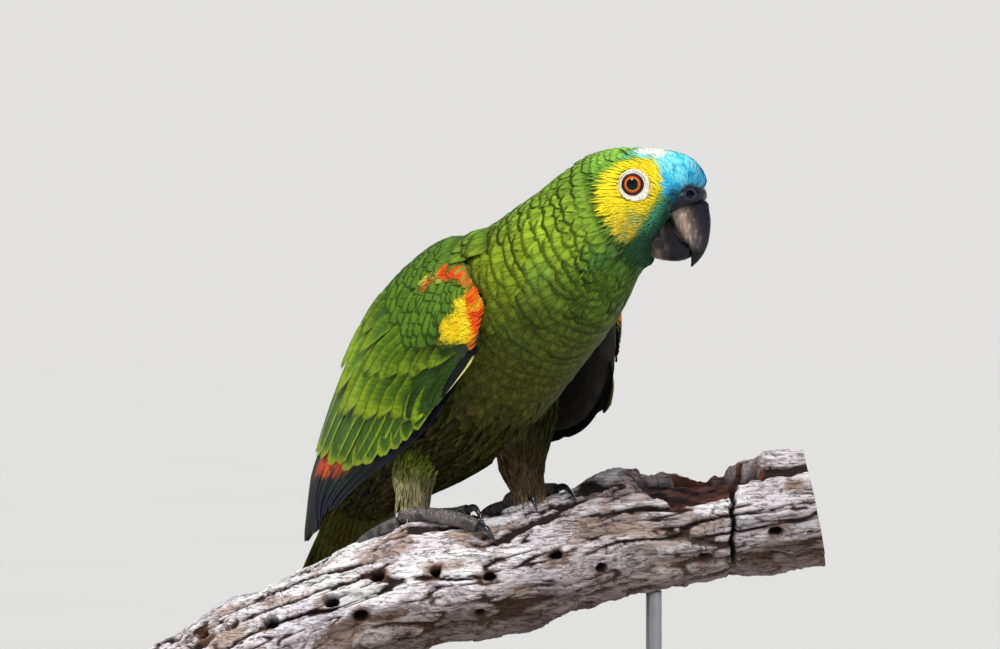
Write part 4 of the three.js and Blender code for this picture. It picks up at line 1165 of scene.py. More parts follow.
def off_eyes(points):
    """How far points are outside the bare skin round the nearer eye."""
    clear = np.full(points.shape[:-1], 99.0)
    for side in (1, -1):
        centre, aim, ahead, up = eye_frame(side)
        d = points - centre
        x, z, depth = d @ ahead, d @ up, d @ aim
        clear = np.where(depth > 0, np.hypot(x, z) - bare_reach(np.arctan2(z, x)), clear)
    return clear


def skin_patch(root, start, span):
    """Where a root lies on the unrolled skin: along it, and round it in a band of the map."""
    around = (root[:, 1] / (2 * math.pi)) % 1
    return np.stack([0.03 + 0.94 * np.clip(root[:, 0], 0, 1), start + span * around], -1)


def sheet_trees(shrink):
    """Search trees of the wings' sheets, a little smaller than they are."""
    along, across = np.linspace(shrink, 0.98 - shrink, 40), np.linspace(shrink, 1, 26)
    return [grid_tree(sheet, along, across) for sheet in SHEETS.values()]


# ---------- Skin under the feathers ----------

COAT_DEPTH = ([0, 0.5, 0.62, 0.7, 0.85, 1], [2.6, 2.6, 2.0, 1.3, 0.9, 0.6])
THIGH_COAT, SOCKET_DEPTH, SKIN_VOXEL = 2.2, 3.2, 1.6


def build_skin():
    """One skin over body, head and thighs, a coat's depth inside their solids."""
    tt, aa = grid(np.linspace(0, 1, 150), round_ring(96))
    body = body_at(tt.ravel(), aa.ravel(), -np.interp(tt, *COAT_DEPTH).ravel())
    rows = grid(np.linspace(0, 1.02, 30), round_ring(36))
    legs = [thigh_surface(leg, THIGH_COAT).point(*rows) for leg in LEGS.values()]
    points, quads, fans = joined([closed(rings) for rings in (body.reshape(*tt.shape, 3), *legs)])
    for side in (1, -1):
        centre, aim, ahead, up = eye_frame(side)
        d = points - centre
        sink = SOCKET_DEPTH * ease(7.6, 5.4, np.hypot(d @ ahead, d @ up)) * ((d @ aim) > 0)
        points = points - aim * sink[:, None]
    piece = mesh_piece("skin", points, quads, fans)
    remesh = piece.modifiers.new("join", "REMESH")
    remesh.mode = "VOXEL"
    remesh.voxel_size = SKIN_VOXEL * MM
    piece.modifiers.new("soften", "SMOOTH").iterations = 4
    bpy.context.view_layer.update()
    mesh = bpy.data.meshes.new_from_object(piece.evaluated_get(bpy.context.evaluated_depsgraph_get()))
    piece.modifiers.clear()
    piece.data = mesh
    mesh.polygons.foreach_set("use_smooth", np.ones(len(mesh.polygons), bool))
    made = np.zeros(len(mesh.vertices) * 3)
    mesh.vertices.foreach_get("co", made)

    # Each point takes the marking of the nearest place of the feathered surfaces.
    samples, colours = [body], [body_markings(tt, aa)[0].reshape(-1, 3)]
    p, q = grid(np.linspace(0, 1, 30), np.linspace(0, 2 * math.pi, 36))
    for name in LEGS:
        samples.append(THIGHS[name].point(p, q).reshape(-1, 3))
        colours.append(thigh_markings(name, p, q)[0].reshape(-1, 3))
    samples, colours = np.concatenate(samples), np.concatenate(colours)
    tree = KDTree(len(samples))
    for i, point in enumerate(samples):
        tree.insert(point, i)
    tree.balance()
    colour = colours[[tree.find(point)[1] for point in made.reshape(-1, 3) / MM]]
    # The skin takes the nearest marking made darker, most where it is dark already: painted shade in the gaps
    # under the feathers.
    add_tint(mesh, colour * (0.4 + 0.5 * ease(0.3, 0.6, colour[:, :1])))
    dress(piece, SKIN, "body_feathers", "torso", "neck", "head", "thigh_right", "thigh_left")


# ---------- Body coat ----------


def varied(colour, amount):
    """Each feather a little darker or brighter than the next."""
    n = colour.shape[0]
    return colour * (1 + rng.uniform(-amount, amount, (n, 1, 1, 1)))


def face_share(points):
    """How much a place of the head has the fine feathers of the face."""
    return outlines_share(head_frame(points)[..., [0, 2]], (YELLOW_FACE, FOREHEAD, GILL, CREAM_PATCH), 1.0)


def trimmed(root, tip, margin):
    """Tips drawn back so that no feather reaches further than a margin over the bare skin round an eye."""
    share = np.zeros(len(root))
    open_way = np.ones(len(root), bool)
    for factor in (0.2, 0.35, 0.5, 0.65, 0.8, 0.9, 1.0):
        place = root + (tip - root) * factor
        open_way &= off_eyes(BODY.point(*place.T)) > -margin
        share = np.where(open_way, factor, share)
    return root + (tip - root) * share[:, None], share


def swept_way(root):
    """The lie of the coat: back along the body, and away from the bill's root on the face and throat."""
    sp, _ = BODY.slopes(*root.T)
    skin = BODY.point(*root.T)
    side = np.where(np.sin(root[:, 1]) > 0, 1.0, -1.0)
    source = np.stack([in_head(23, 5 * s, -7) for s in side])
    return unit(blend(-unit(sp), unit(skin - source), ease(0.6, 0.68, root[:, 0])))


def kept_roots(roots, trees):
    """Which roots carry a feather: none under the wings, in the thighs, at the mouth or round the eyes."""
    skin, normals = BODY.point(*roots.T), BODY.normal(*roots.T)
    t = roots[:, 0]
    keep = (off_eyes(skin) > 0.1) & (t < 0.985)
    for tree in trees["wings"]:
        near = np.flatnonzero(keep & (t < 0.6))
        keep[near] &= ~covered(tree, skin[near], normals[near], 16)
    for tree in trees["thighs"]:
        near = np.flatnonzero(keep & (t < 0.45))
        keep[near] &= ~inside(tree, skin[near], 1.5)
    head = head_frame(skin)
    mouth = (np.abs(head[:, 1]) < 6.5) & (head[:, 0] > 15) & (head[:, 2] < -8)
    return keep & (off_nostril(head) >= 5) & ~mouth


HEAD_FROM = 0.66  # where the head begins along the body

# Pieces of the body's coat: name, range along the body, rows and columns of each feather, and slot.
COATS = [
    ("torso_feathers_rear", (0, 0.3), 12, 11, "body_feathers"),
    ("torso_feathers_front", (0.3, 0.46), 14, 13, "body_feathers"),
    ("neck_feathers", (0.46, 0.61), 15, 13, "neck_feathers"),
    ("nape_feathers", (0.61, 0.7), 12, 11, "neck_feathers"),
    ("crown_feathers", (0.7, 1.0), 9, 7, "head_feathers"),
]


def dress_feathers(name, root, tip, grown, finish, slot, own=0.55, shade=0.42, vary=0.13):
    """Colours feathers of the body by where they lie and by their own middles, with painted shade towards
    their roots and a painted highlight on their tips, and makes their piece.
    """
    p, q = grown["place"][..., 0], grown["place"][..., 1]
    at_point, _ = body_markings(np.clip(p, 0, 1), q)
    middle = root + 0.7 * (tip - root)
    centre, _ = body_markings(np.clip(middle[:, 0], 0, 1), middle[:, 1])
    colour = varied(blend(at_point, centre[:, None, None], own), vary)
    bright = ease(0.35, 0.7, colour[..., 0])
    # Painted shade where each feather lies under the next one, and a painted highlight on its free tip.
    under = ease(0.62, 0.2, grown["v"]) * shade * (1 - 0.6 * bright)
    painted_tip_highlight = 0.18 * ease(0.5, 0.8, grown["v"]) * (1 - bright)
    colour = colour * ((1 - under) * (1 + painted_tip_highlight))[..., None]
    rim = body_markings(*root.T)[1][:, None, None]
    dress_coat(name, finish, slot, grown, colour, rim, skin_patch(root, 0.02, 0.8))


def build_body_coat():
    rows = np.linspace(-0.1, 1, 24)
    thighs = [grid_tree(surface, rows, round_ring(32), True) for surface in THIGHS.values()]
    trees = {"wings": sheet_trees(0.03), "thighs": thighs}
    roots, gaps, strides = body_roots()
    keep = kept_roots(roots, trees)
    keep &= (roots[:, 0] <= HEAD_FROM) | (face_share(BODY.point(*roots.T)) < 0.08)
    roots, gaps, strides = roots[keep], gaps[keep], strides[keep]
    t, angle = roots.T
    n = len(t)
    # The belly, flanks and breast's lower feathers are long and soft.
    soft = ease(0.25, -0.35, np.cos(angle)) * ease(0.42, 0.3, t)
    way = swept_way(roots) + 0.04 * rng.normal(0, 1, (n, 3)) * (1 + 3 * soft)[:, None]
    length = strides * np.interp(t, COAT_AT, LENGTHS) * rng.uniform(0.93, 1.07, n) * (1 + 0.35 * soft)
    bridge = (t > 0.4) & (t < 0.452) & (np.cos(angle) > 0.975)
    tips, share = trimmed(roots, tips_along(BODY, roots, way, length * (1 + 0.8 * bridge)), 0.6)
    width = gaps * np.interp(t, COAT_AT, WIDTHS) * rng.uniform(0.95, 1.05, n) * (1 - 0.45 * soft)
    lift = np.interp(t, COAT_AT, LIFTS) * rng.uniform(0.85, 1.15, n) * 0.75

    # Feathers of the mantle lie over the wings' front edges.
    mantle = np.flatnonzero((t > 0.3) & (t < 0.56) & (np.cos(angle) > 0.5))
    skin, out = BODY.point(*tips[mantle].T), BODY.normal(*tips[mantle].T)
    for surface in SHEETS.values():
        sheet = grid_tree(surface, np.linspace(-0.04, 0.9, 60), np.linspace(0.35, 1, 24))
        for k, point, normal in zip(mantle, skin, out):
            distance = sheet.ray_cast(Vector(point), Vector(normal), 15)[3]
            if distance is not None and distance < 5.5:
                lift[k] = max(lift[k], distance + 0.9)

    # Between the wings the back's feathers stand a little higher, and the mantle's reach into the gap.
    furrow = (t > 0.2) & (t < 0.36) & (np.cos(angle) > 0.94)
    lift[furrow] = np.maximum(lift[furrow], 5.5 * ease(0.2, 0.3, t[furrow]))
    lift[bridge] = np.interp(tips[bridge, 0], [0.335, 0.38, 0.42], [5.4, 4.2, 1.6])

    # Feathers that end under the wings lie flat.
    under = np.flatnonzero((t < 0.6) & (lift < 2.5) & ((t < 0.3) | (np.cos(angle) <= 0.5)))
    skin, out = BODY.point(*tips[under].T), BODY.normal(*tips[under].T)
    for tree in sheet_trees(0.0):
        hidden = covered(tree, skin - 2 * out, out, 12)
        lift[under[hidden]] = np.minimum(lift[under[hidden]], 0.1)
    sunk = np.interp(t, *COAT_DEPTH) * 0.6 - 0.45 * np.maximum(lift - 2, 0)
    blunt = np.interp(t, [0.35, 0.42, 0.56, 0.62], [0.24, 0.15, 0.15, 0.22]) + 0.3 * soft
    for name, (low, high), rows, cols, slot in COATS:
        use = (t >= low) & (t < high) & (share > np.where(t > HEAD_FROM, 0.8, 0.3))
        grown = vanes(
            BODY, roots[use], tips[use], width[use], rows, cols, rise=(-sunk[use], lift[use]), waist=0.5,
            taper=0.1 + 0.4 * soft[use], tip_round=blunt[use], rag=0.03, camber=0.03,
            tilt=rng.normal(0, 0.03, use.sum()), square=2.6, barbs=14,
        )
        dress_feathers(name, roots[use], tips[use], grown, CONTOUR, slot)
    build_face(trees)


def build_face(trees):
    """Fine hair-like feathers of the face and forehead."""
    roots, _, _ = body_roots(0.54)
    roots = roots[roots[:, 0] > HEAD_FROM]
    roots = roots[kept_roots(roots, trees)]
    roots = roots[face_share(BODY.point(*roots.T)) > 0.12]
    yellow = outline_share(head_frame(BODY.point(*roots.T))[:, [0, 2]], YELLOW_FACE, 2)
    way = swept_way(roots) + 0.1 * rng.normal(0, 1, (len(roots), 3))
    tips = tips_along(BODY, roots, way, (4.4 + 3.4 * yellow) * rng.uniform(0.8, 1.2, len(roots)))
    tips, share = trimmed(roots, tips, 0.9)
    on_cheek = roots[:, 0] < np.median(roots[:, 0])
    for name, use in (("cheek_feathers", on_cheek), ("forehead_feathers", ~on_cheek)):
        use = use & (share > 0.7)
        n = use.sum()
        width = (1.85 - 0.2 * yellow[use]) * rng.uniform(0.8, 1.2, n)
        lift = rng.uniform(0.1, 0.4, n) * (1 - 0.5 * yellow[use])
        grown = vanes(
            BODY, roots[use], tips[use], width, 8, 5, rise=(-0.6, lift), waist=0.5, taper=0.5, tip_round=0.3,
            rag=0.02, camber=0.05, tilt=rng.normal(0, 0.05, n), barbs=10,
        )
        dress_feathers(name, roots[use], tips[use], grown, FACE, "head_feathers", 0.8, 0.1, 0.08)


def thigh_roots(name, stride=2.4, gap=2.6):
    """Roots of the thigh's feathers in rows round it, clear of the body."""
    surface = THIGHS[name]
    rows = int(path_length(surface.point(np.linspace(0, 1, 40), 0)) / stride)
    roots = []
    for k in range(rows):
        radius = np.interp(k / rows, np.linspace(0, 1, 4), LEGS[name]["radii"])
        count = max(12, int(2 * math.pi * radius / gap))
        angle = (np.arange(count) + 0.5 * (k % 2) + rng.uniform(-0.3, 0.3, count)) * 2 * math.pi / count
        roots.append(np.stack([k / rows + rng.uniform(-0.3, 0.3, count) / rows, angle], -1))
    roots = np.concatenate(roots)
    body = grid_tree(BODY, np.linspace(0, 1, 90), round_ring(60), True)
    return roots[~inside(body, surface.point(*roots.T), 5.0)]


def build_thigh_coat():
    for name, surface in THIGHS.items():
        roots = thigh_roots(name)
        t, n = roots[:, 0], len(roots)
        size = np.interp(t, [0, 0.7, 1], [24, 19, 10]) * rng.uniform(0.8, 1.2, n)
        tip = tips_from(surface, roots, size, rng.normal(0, 9, n))
        grown = vanes(
            surface, roots, tip, np.interp(t, [0, 1], [3.0, 1.8]) * rng.uniform(0.8, 1.2, n), 9, 5,
            rise=(-1.4, np.interp(t, [0, 1], [1.3, 0.5]) * rng.uniform(0.5, 1.3, n)), waist=0.45, taper=0.6,
            tip_round=0.4, rag=0.04, camber=0.1, tilt=rng.normal(0, 0.12, n), barbs=12,
        )
        colour, rim = thigh_markings(name, grown["place"][..., 0], grown["place"][..., 1])
        # Each feather darker towards its root: painted shade under the feathers that overlap it.
        colour = varied(colour, 0.2) * (1 - 0.3 * ease(0.5, 0.1, grown["v"])[..., None])
        patch = skin_patch(roots, 0.84, 0.14)
        dress_coat(f"thigh_feathers_{name}", CONTOUR, "body_feathers", grown, colour, rim, patch)


# ---------- Wings ----------

# Rows of large feathers: name, count, places of the roots and of the tips as along and across of the sheet,
# widths of the first and last, depth under the sheet at root and tip, how much deeper each lower tip lies,
# and the vanes' tilt in degrees.
WING_ROWS = [
    (
        "primaries", 10, [(0.14, 0.035), (0.34, 0.42)],
        [(0.84, 0.035), (0.92, 0.07), (0.98, 0.17), (1, 0.33)], (9, 12), (5, 0.5), 0.2, -4,
    ),
    (
        "secondaries", 13, [(0.2, 0.1), (0.24, 0.4), (0.24, 0.74)],
        [(0.4, 0.035), (0.53, 0.05), (0.64, 0.1), (0.7, 0.2), (0.76, 0.4), (0.83, 0.7)],
        (9, 12), (6.5, 1.1), 0, -10,
    ),
    ("tertials", 3, [(0.24, 0.8), (0.24, 0.95)], [(0.88, 0.8), (0.78, 0.94)], (14, 14), (6.2, 0.8), 0, -10),
    (
        "primary_coverts", 7, [(0.13, 0.008), (0.16, 0.14)],
        [(0.28, 0.01), (0.4, 0.1)], (5.6, 12), (4.4, 0.4), 0, -8,
    ),
    (
        "greater_coverts", 13, [(0.18, 0.1), (0.22, 0.4), (0.24, 0.92)],
        [(0.385, 0.06), (0.46, 0.15), (0.56, 0.27), (0.62, 0.42), (0.6, 0.66), (0.56, 0.92)],
        (10, 12), (6, 0.3), 0, -10,
    ),
    (
        "median_coverts", 15, [(0.1, 0.1), (0.14, 0.4), (0.14, 0.92)],
        [(0.27, 0.15), (0.33, 0.22), (0.41, 0.3), (0.48, 0.42), (0.49, 0.6), (0.46, 0.77), (0.42, 0.92)],
        (10, 12), (5, -0.2), 0, -9,
    ),
    ("scapulars", 5, [(0.14, 0.78), (0.16, 0.98)], [(0.42, 0.8), (0.38, 0.98)], (11, 11), (4.5, -1.2), 0, -8),
]
# Near-black for the undersides of the wings' feathers and the far wing's edge: painted shade.
SHADED_UNDERSIDE = srgb(14, 15, 11)
FLIGHT_ROWS = ("primaries", "secondaries", "tertials")
FANNED_ROWS = ("primaries", "secondaries")
RIMS_OF_ROWS = {"primaries": 0.2, "secondaries": 0.25, "tertials": 0.25, "primary_coverts": 0.5}

# How the large vanes are made.
COVERT_FORM = {"rows": 20, "taper": 0.15, "tip_round": 0.26, "rag": 0.014, "shaft": 0.2, "nicks": 0.02}
FLIGHT_FORM = {"rows": 34, "taper": 0.15, "tip_round": 0.07, "rag": 0.004, "shaft": 0.35, "nicks": 0.05}
PRIMARY_FORM = dict(FLIGHT_FORM, taper=0.45, tip_round=0.16)

NAVY, NAVY_EDGE, BLUE_WEB = srgb(10, 11, 17), srgb(34, 38, 62), srgb(18, 52, 34)
WING_LEAF, WING_DEEP, WING_EDGE = srgb(92, 134, 28), srgb(58, 94, 10), srgb(168, 194, 34)
SPECULUM = srgb(222, 50, 26)

# Outlines on the wing's sheet, as along and across.
YELLOW_BEND = [
    (-0.05, -0.05), (0.09, -0.02), (0.14, 0.07), (0.185, 0.17), (0.155, 0.235), (0.115, 0.215), (0.06, 0.27),
    (0.02, 0.25), (-0.05, 0.24),
]
RED_BEND = [
    (-0.05, -0.05), (0.14, -0.04), (0.13, 0.02), (0.085, 0.05), (0.06, 0.12), (0.045, 0.18), (0.005, 0.22),
    (0.005, 0.31), (0.04, 0.4), (0.1, 0.452), (0.19, 0.462),
    (0.19, 0.5), (0.09, 0.5), (0.02, 0.44), (-0.05, 0.33),
]


def wing_ground(along, across, points, seed=31):
    """The colours of the wing's small and middle coverts."""
    colour = blend(srgb(96, 136, 42), WING_LEAF, ease(0.1, 0.35, along))
    colour = blend(colour, srgb(100, 140, 50), ease(0.5, 0.9, across))
    colour = colour * (1 + 0.25 * noise(points, 7, seed)[..., None])
    flat = np.stack([along, across], -1) + noise(points, 3, seed + 1)[..., None] * np.array((0.014, 0.03))
    yellow, red = (outline_share(flat, outline, 0.008) for outline in (YELLOW_BEND, RED_BEND))
    streak = ease(-0.3, 0.2, noise(points, (2.4, 2.4, 4), seed + 2))
    spots = ease(0.24, 0.14, along) * ease(0.07, 0.03, across)
    spots = ease(0.2, 0.4, noise(points, 4.5, seed + 3)) * spots
    low = ease(0.1, 0.16, along) * ease(0.3, 0.2, across) * ease(0.34, 0.26, along)
    colour = blend(colour, srgb(54, 72, 30), low * 0.75)
    colour = blend(colour, blend(RED, YELLOW, ease(-0.2, 0.4, noise(points, 3, seed + 4))), spots * 0.9)
    colour = blend(colour, blend(YELLOW, srgb(250, 200, 20), 0.5 + 0.5 * noise(points, 4, seed + 5)), yellow)
    on_bend = red * np.where(across > 0.27, streak, 0.55 + 0.45 * streak)
    colour = blend(colour, blend(RED, srgb(244, 92, 24), 0.5 + 0.5 * noise(points, 3, seed + 6)), on_bend)
    pale = ease(0.24, 0.3, across) * ease(-0.4, 0.2, noise(points, 5, seed + 7))
    return blend(colour, srgb(236, 214, 90), red * (1 - streak) * pale * 0.8)


def speculum_share(along, across, points):
    """The red bar over the folded primaries."""
    past = along - np.interp(across, [0.05, 0.1, 0.2, 0.3, 0.45], [0.58, 0.64, 0.7, 0.73, 0.77])
    past = past + 0.02 * noise(points, 3, 43)
    red = ease(-0.03, -0.02, past) * ease(0.06, 0.045, past)
    red = red * ease(0.09, 0.13, across) * ease(0.4, 0.34, across)
    return red * ease(-0.6, 0.0, noise(points, (3, 3, 6), 44) + 0.25)


def flight_paint(row, share, grown, down):
    """Colours along and across the large feathers: a web on each side of the shaft, tips and edges.

    down is the sign of u on the side towards the wing's lower edge.
    """
    u, v, points = -down * grown["u"], grown["v"], grown["points"]
    along, across = grown["place"][..., 0], grown["place"][..., 1]
    share = np.broadcast_to(share[:, None, None], u.shape)
    outer = ease(0.1, -0.12, u)  # the web towards the lower edge
    if row == "primaries":
        base = blend(srgb(40, 72, 30), BLUE_WEB, ease(0.2, 0.55, v))
        base = blend(base, NAVY, ease(0.76, 0.84, along + 0.05 * (across < 0.1)))
        base = blend(base, NAVY, outer * ease(0.35, 0.15, share))
        base = blend(base, NAVY_EDGE, ease(-0.8, -0.98, u) * 0.8)
        red = blend(SPECULUM, srgb(226, 110, 60), 0.5 + 0.5 * noise(points, 3, 41))
        base = blend(base, red, speculum_share(along, across, points))
    elif row == "secondaries":
        base = blend(WING_DEEP, srgb(70, 110, 16), outer)
        base = blend(base, WING_EDGE, np.maximum(ease(-0.7, -0.94, u), ease(0.93, 0.99, v)))
    elif row == "tertials":
        base = blend(srgb(74, 112, 20), srgb(96, 134, 26), outer)
        base = blend(base, srgb(150, 184, 34), ease(-0.5, -0.92, u))
        base = blend(base, NAVY, ease(0.93, 0.99, v) * 0.3)
    elif row == "primary_coverts":
        base = blend(srgb(58, 88, 32), srgb(22, 30, 34), ease(0.12, 0.02, share))
        base = blend(base, srgb(238, 232, 130), ease(-0.5, -0.62, u) * (share < 0.02) * (v > 0.25))
        base = blend(base, srgb(84, 120, 36), ease(-0.7, -0.92, u) * ease(0.1, 0.3, share) * 0.7)
    else:
        middle = ease(0.7, 0.2, np.abs(u)) * ease(0.98, 0.6, v)
        base = wing_ground(along, across, points) * (1 - 0.36 * middle[..., None])
        edge = ease(0.74, 0.94, np.maximum(np.abs(u) * 0.97, v))
        base = blend(base, WING_EDGE, edge * (0.75 if row == "greater_coverts" else 0.4))
    return varied(base, 0.13) * (1 + 0.14 * noise(points, 6, 42)[..., None])


def near_bend(along, across):
    """Where the small feathers of the bend's bright patches grow."""
    return outlines_share(np.stack([along + 0.03, across], -1), (YELLOW_BEND, RED_BEND), 0.03) > 0.3


def on_arm(along, across):
    """Where the other small coverts grow."""
    return ~near_bend(along, across) & (along < np.interp(across, [0.08, 0.3, 0.6], [0.11, 0.22, 0.27]))


# Small coverts: kind, spacing along and across, range along, where they grow, length and width, rows and
# columns of each vane, height of the roots, finish, camber and tilt.
SMALL_COVERTS = [
    ("small_coverts", (0.0235, 0.058), (-0.06, 0.27), on_arm, (14, 9.6), (12, 11), -1.7, COVERT, 0.06, -0.07),
    ("bend_feathers", (0.012, 0.034), (-0.075, 0.2), near_bend, (9, 6), (9, 7), -1.2, FACE, 0.03, 0),
]


def build_small_coverts(name, kind, spacing, reach, grows, size, cells, sunk, finish, camber, tilt):
    """Small coverts in staggered rows from the wrist back."""
    surface = SHEETS[name]
    far = name == "left"
    step, gap = spacing
    roots = []
    for k, along in enumerate(np.arange(reach[1], reach[0], -step)):
        across = np.arange(-0.03, 1.0, gap) + gap / 2 * (k % 2)
        across = across + rng.uniform(-0.12, 0.12, len(across)) * gap
        wander = rng.uniform(-0.15, 0.15, len(across)) * step
        roots.append(np.stack([along - 0.02 * across + wander, across], -1))
    roots = np.concatenate(roots)
    front = np.interp(roots[:, 1], [0, 0.3, 0.5, 1], [-0.035, -0.03, 0.0, 0.03])
    roots = roots[grows(*roots.T) & (roots[:, 1] > (0.13 if far else 0)) & (roots[:, 0] > front)]
    n = len(roots)
    scale = np.interp(roots[:, 0], [-0.06, 0.1, 0.26], [0.75, 1, 1.35])
    scale = scale * np.interp(roots[:, 1], [0, 0.16], [0.6, 1])
    length = rng.uniform(0.9, 1.1, n) * size[0] * scale
    tip = tips_from(surface, roots, length, rng.normal(0, 4, n))
    grown = vanes(
        surface, roots, tip, rng.uniform(0.9, 1.1, n) * size[1] * scale, *cells,
        rise=(sunk, rng.uniform(0.3, 0.6, n) * (0.3 + size[0] / 28)), waist=0.6, taper=0.1, tip_round=0.3,
        rag=0.03, camber=camber, tilt=tilt + rng.normal(0, 0.02, n), square=2.2, barbs=24,
    )
    along, across = grown["place"][..., 0], grown["place"][..., 1]
    middle = roots + 0.7 * (tip - roots)
    centre = wing_ground(*middle.T, surface.point(*middle.T))
    colour = blend(wing_ground(along, across, grown["points"]), centre[:, None, None], 0.6)
    bright = ease(0.3, 0.5, colour[..., 0])
    if far:
        shaded = ease(0.22, 0.15, across) * ease(0.03, 0.07, along)
        colour = blend(colour, srgb(30, 38, 18), shaded)
    # Each covert darker towards its root, less so where it is bright: painted shade under the one above it.
    colour = varied(colour, 0.1) * (1 - 0.35 * ease(0.6, 0.2, grown["v"]) * (1 - bright))[..., None]
    patch = np.stack([0.05 + 0.8 * (roots[:, 0] + 0.1), 0.03 + 0.9 * np.clip(roots[:, 1], 0, 1)], -1)
    under = SHADED_UNDERSIDE if far else None
    feathers = (grown, colour, 0.75 * (1 - bright), patch)
    dress_coat(f"wing_{name}_{kind}", finish, "wing_feathers", *feathers, under=under)


def build_wing(name):
    flight, coverts = Coat(), Coat()
    large = sum(row[1] for row in WING_ROWS)
    slot, down = 0, SIDES[name]
    for row, count, roots, tips, width, depth, stack, tilt in WING_ROWS:
        is_flight = row in FLIGHT_ROWS
        form = PRIMARY_FORM if row == "primaries" else FLIGHT_FORM if is_flight else COVERT_FORM
        share = np.arange(count) / (count - 1)
        root = spline(roots, share) + rng.normal(0, 0.004, (count, 2)) * (not is_flight)
        tip = spline(tips, share) + rng.normal(0, 0.009, (count, 2))
        sunk = depth[1] + stack * (count - 1 - np.arange(count))
        fanned = down * (share - 1) if row in FANNED_ROWS else 1
        full = (width[0] + (width[1] - width[0]) * share) * rng.uniform(0.94, 1.08, count)
        grown = vanes(
            SHEETS[name], root, tip, full, cols=13, rise=(-depth[0], -sunk), waist=0.75, camber=0.05,
            tilt=fanned * math.tan(math.radians(tilt)), square=2.2, barbs=38, **form,
        )
        colour = flight_paint(row, share, grown, down)
        patch = np.stack([(slot + np.arange(count) + 0.5) / large, np.full(count, 0.5)], -1)
        under = SHADED_UNDERSIDE if is_flight or name == "left" else None
        target = flight if is_flight else coverts
        target.add(grown, colour, RIMS_OF_ROWS.get(row, 0.6), patch, (0.86 / large, 0.94), under)
        slot += count
    for form in SMALL_COVERTS:
        build_small_coverts(name, *form)
    dress(flight.piece(f"wing_{name}_flight"), FLIGHT, "wing_feathers", f"wing_{name}")
    dress(coverts.piece(f"wing_{name}_coverts"), FLIGHT, "wing_feathers")
    build_arm(name)


# The wing's flesh: how far it reaches along the sheet, its cells, the depths under the sheet of its upper
# face at the wrist and at its end, the depth of its lower face at the wrist, and its thickness at its end.
ARM = {"reach": 0.5, "cells": (30, 24), "upper": (1.8, 3.6), "lower": 10.2, "end": 1.4}


def build_arm(name):
    """The wing's flesh and down under the coverts. Its upper face is the coverts' colour at half strength,
    near-black at the far wing's front edge, and its lower face near-black with brownish streaks of down:
    painted shade under the coverts and under the wing.
    """
    rows, cols = ARM["cells"]
    a, c = grid(np.linspace(0, ARM["reach"], rows), np.linspace(0.03, 0.98, cols))
    points, out = SHEETS[name].point(a, c), SHEETS[name].normal(a, c)
    near, far = ARM["upper"]
    upper = near + (far - near) * a / ARM["reach"]
    lower = ARM["lower"] + (upper + ARM["end"] - ARM["lower"]) * (a / ARM["reach"]) ** 1.5
    ring = np.concatenate([points - out * upper[..., None], (points - out * lower[..., None])[:, ::-1]], 1)
    # Painted shade: the upper face at half the coverts' colour, the lower face near-black.
    above = blend(wing_ground(a, c, points) * 0.5, SHADED_UNDERSIDE, ease(0.16, 0.1, c) * (name == "left"))
    streaks = ease(0.0, 0.5, noise(points, (5, 5, 16), 33))
    below = blend(srgb(12, 12, 9), srgb(62, 50, 22), streaks * 0.7)
    sides = 2 * cols
    k = np.arange(cols - 1)
    front = np.stack([k, sides - 1 - k, sides - 2 - k, k + 1], -1)
    quads = np.concatenate([grid_quads(rows, sides, True), front, front[:, ::-1] + (rows - 1) * sides])
    piece = mesh_piece(f"wing_{name}_arm", ring.reshape(-1, 3), quads, tint=np.concatenate([above, below], 1))
    dress(piece, SKIN, "wing_feathers")


# ---------- Tail ----------

# Coverts over and under the tail: side, length, heights at root and tip, pairs, spread of roots and of tips.
TAIL_COVERTS = [
    (1, 46, (4.4, 4.8), 5, 10, 15),
    (-1, 76, (9.5, 11), 6, 13, 20),
    (-1, 52, (13, 14.5), 6, 13, 19),
]
# Colours at root and tip of the coverts over (1) and under (-1) the tail; the under ones are their own olive
# darkened as painted shade under the body.
TAIL_COVERT_COLOURS = {
    1: (srgb(88, 126, 44), srgb(100, 140, 50)),
    -1: (srgb(76, 76, 34), srgb(96, 94, 36)),
}
TAIL_PAIRS = 6


def tail_paint(grown, side, place):
    """The tail's large feathers, from the middle pair to the outermost, and the colour under them, their own
    olive darkened as painted shade and greener to the outer edge.
    """
    out, v, points = side * grown["u"], grown["v"], grown["points"]
    colour = blend(srgb(62, 84, 30), srgb(74, 92, 32), v)
    colour = blend(colour, srgb(176, 170, 52), ease(0.72, 0.9, v) * 0.5)
    outermost = place == TAIL_PAIRS - 1
    colour = blend(colour, srgb(140, 172, 40), ease(0.55, 0.92, out) * (0.4 + 0.6 * outermost))
    red = ease(0.05, 0.2, v) * ease(0.5, 0.36, v) * ease(0.3, -0.1, out) * (place > 2)
    colour = blend(colour, srgb(150, 48, 28), red * 0.6)
    # The under faces: painted shade over the feathers' olive, greener towards the outer edge.
    below = blend(srgb(54, 48, 22), srgb(96, 116, 30), 0.6 * ease(0.6, 0.95, out))
    return varied(colour * (1 + 0.12 * noise(points, 6, 51)[..., None]), 0.05), below


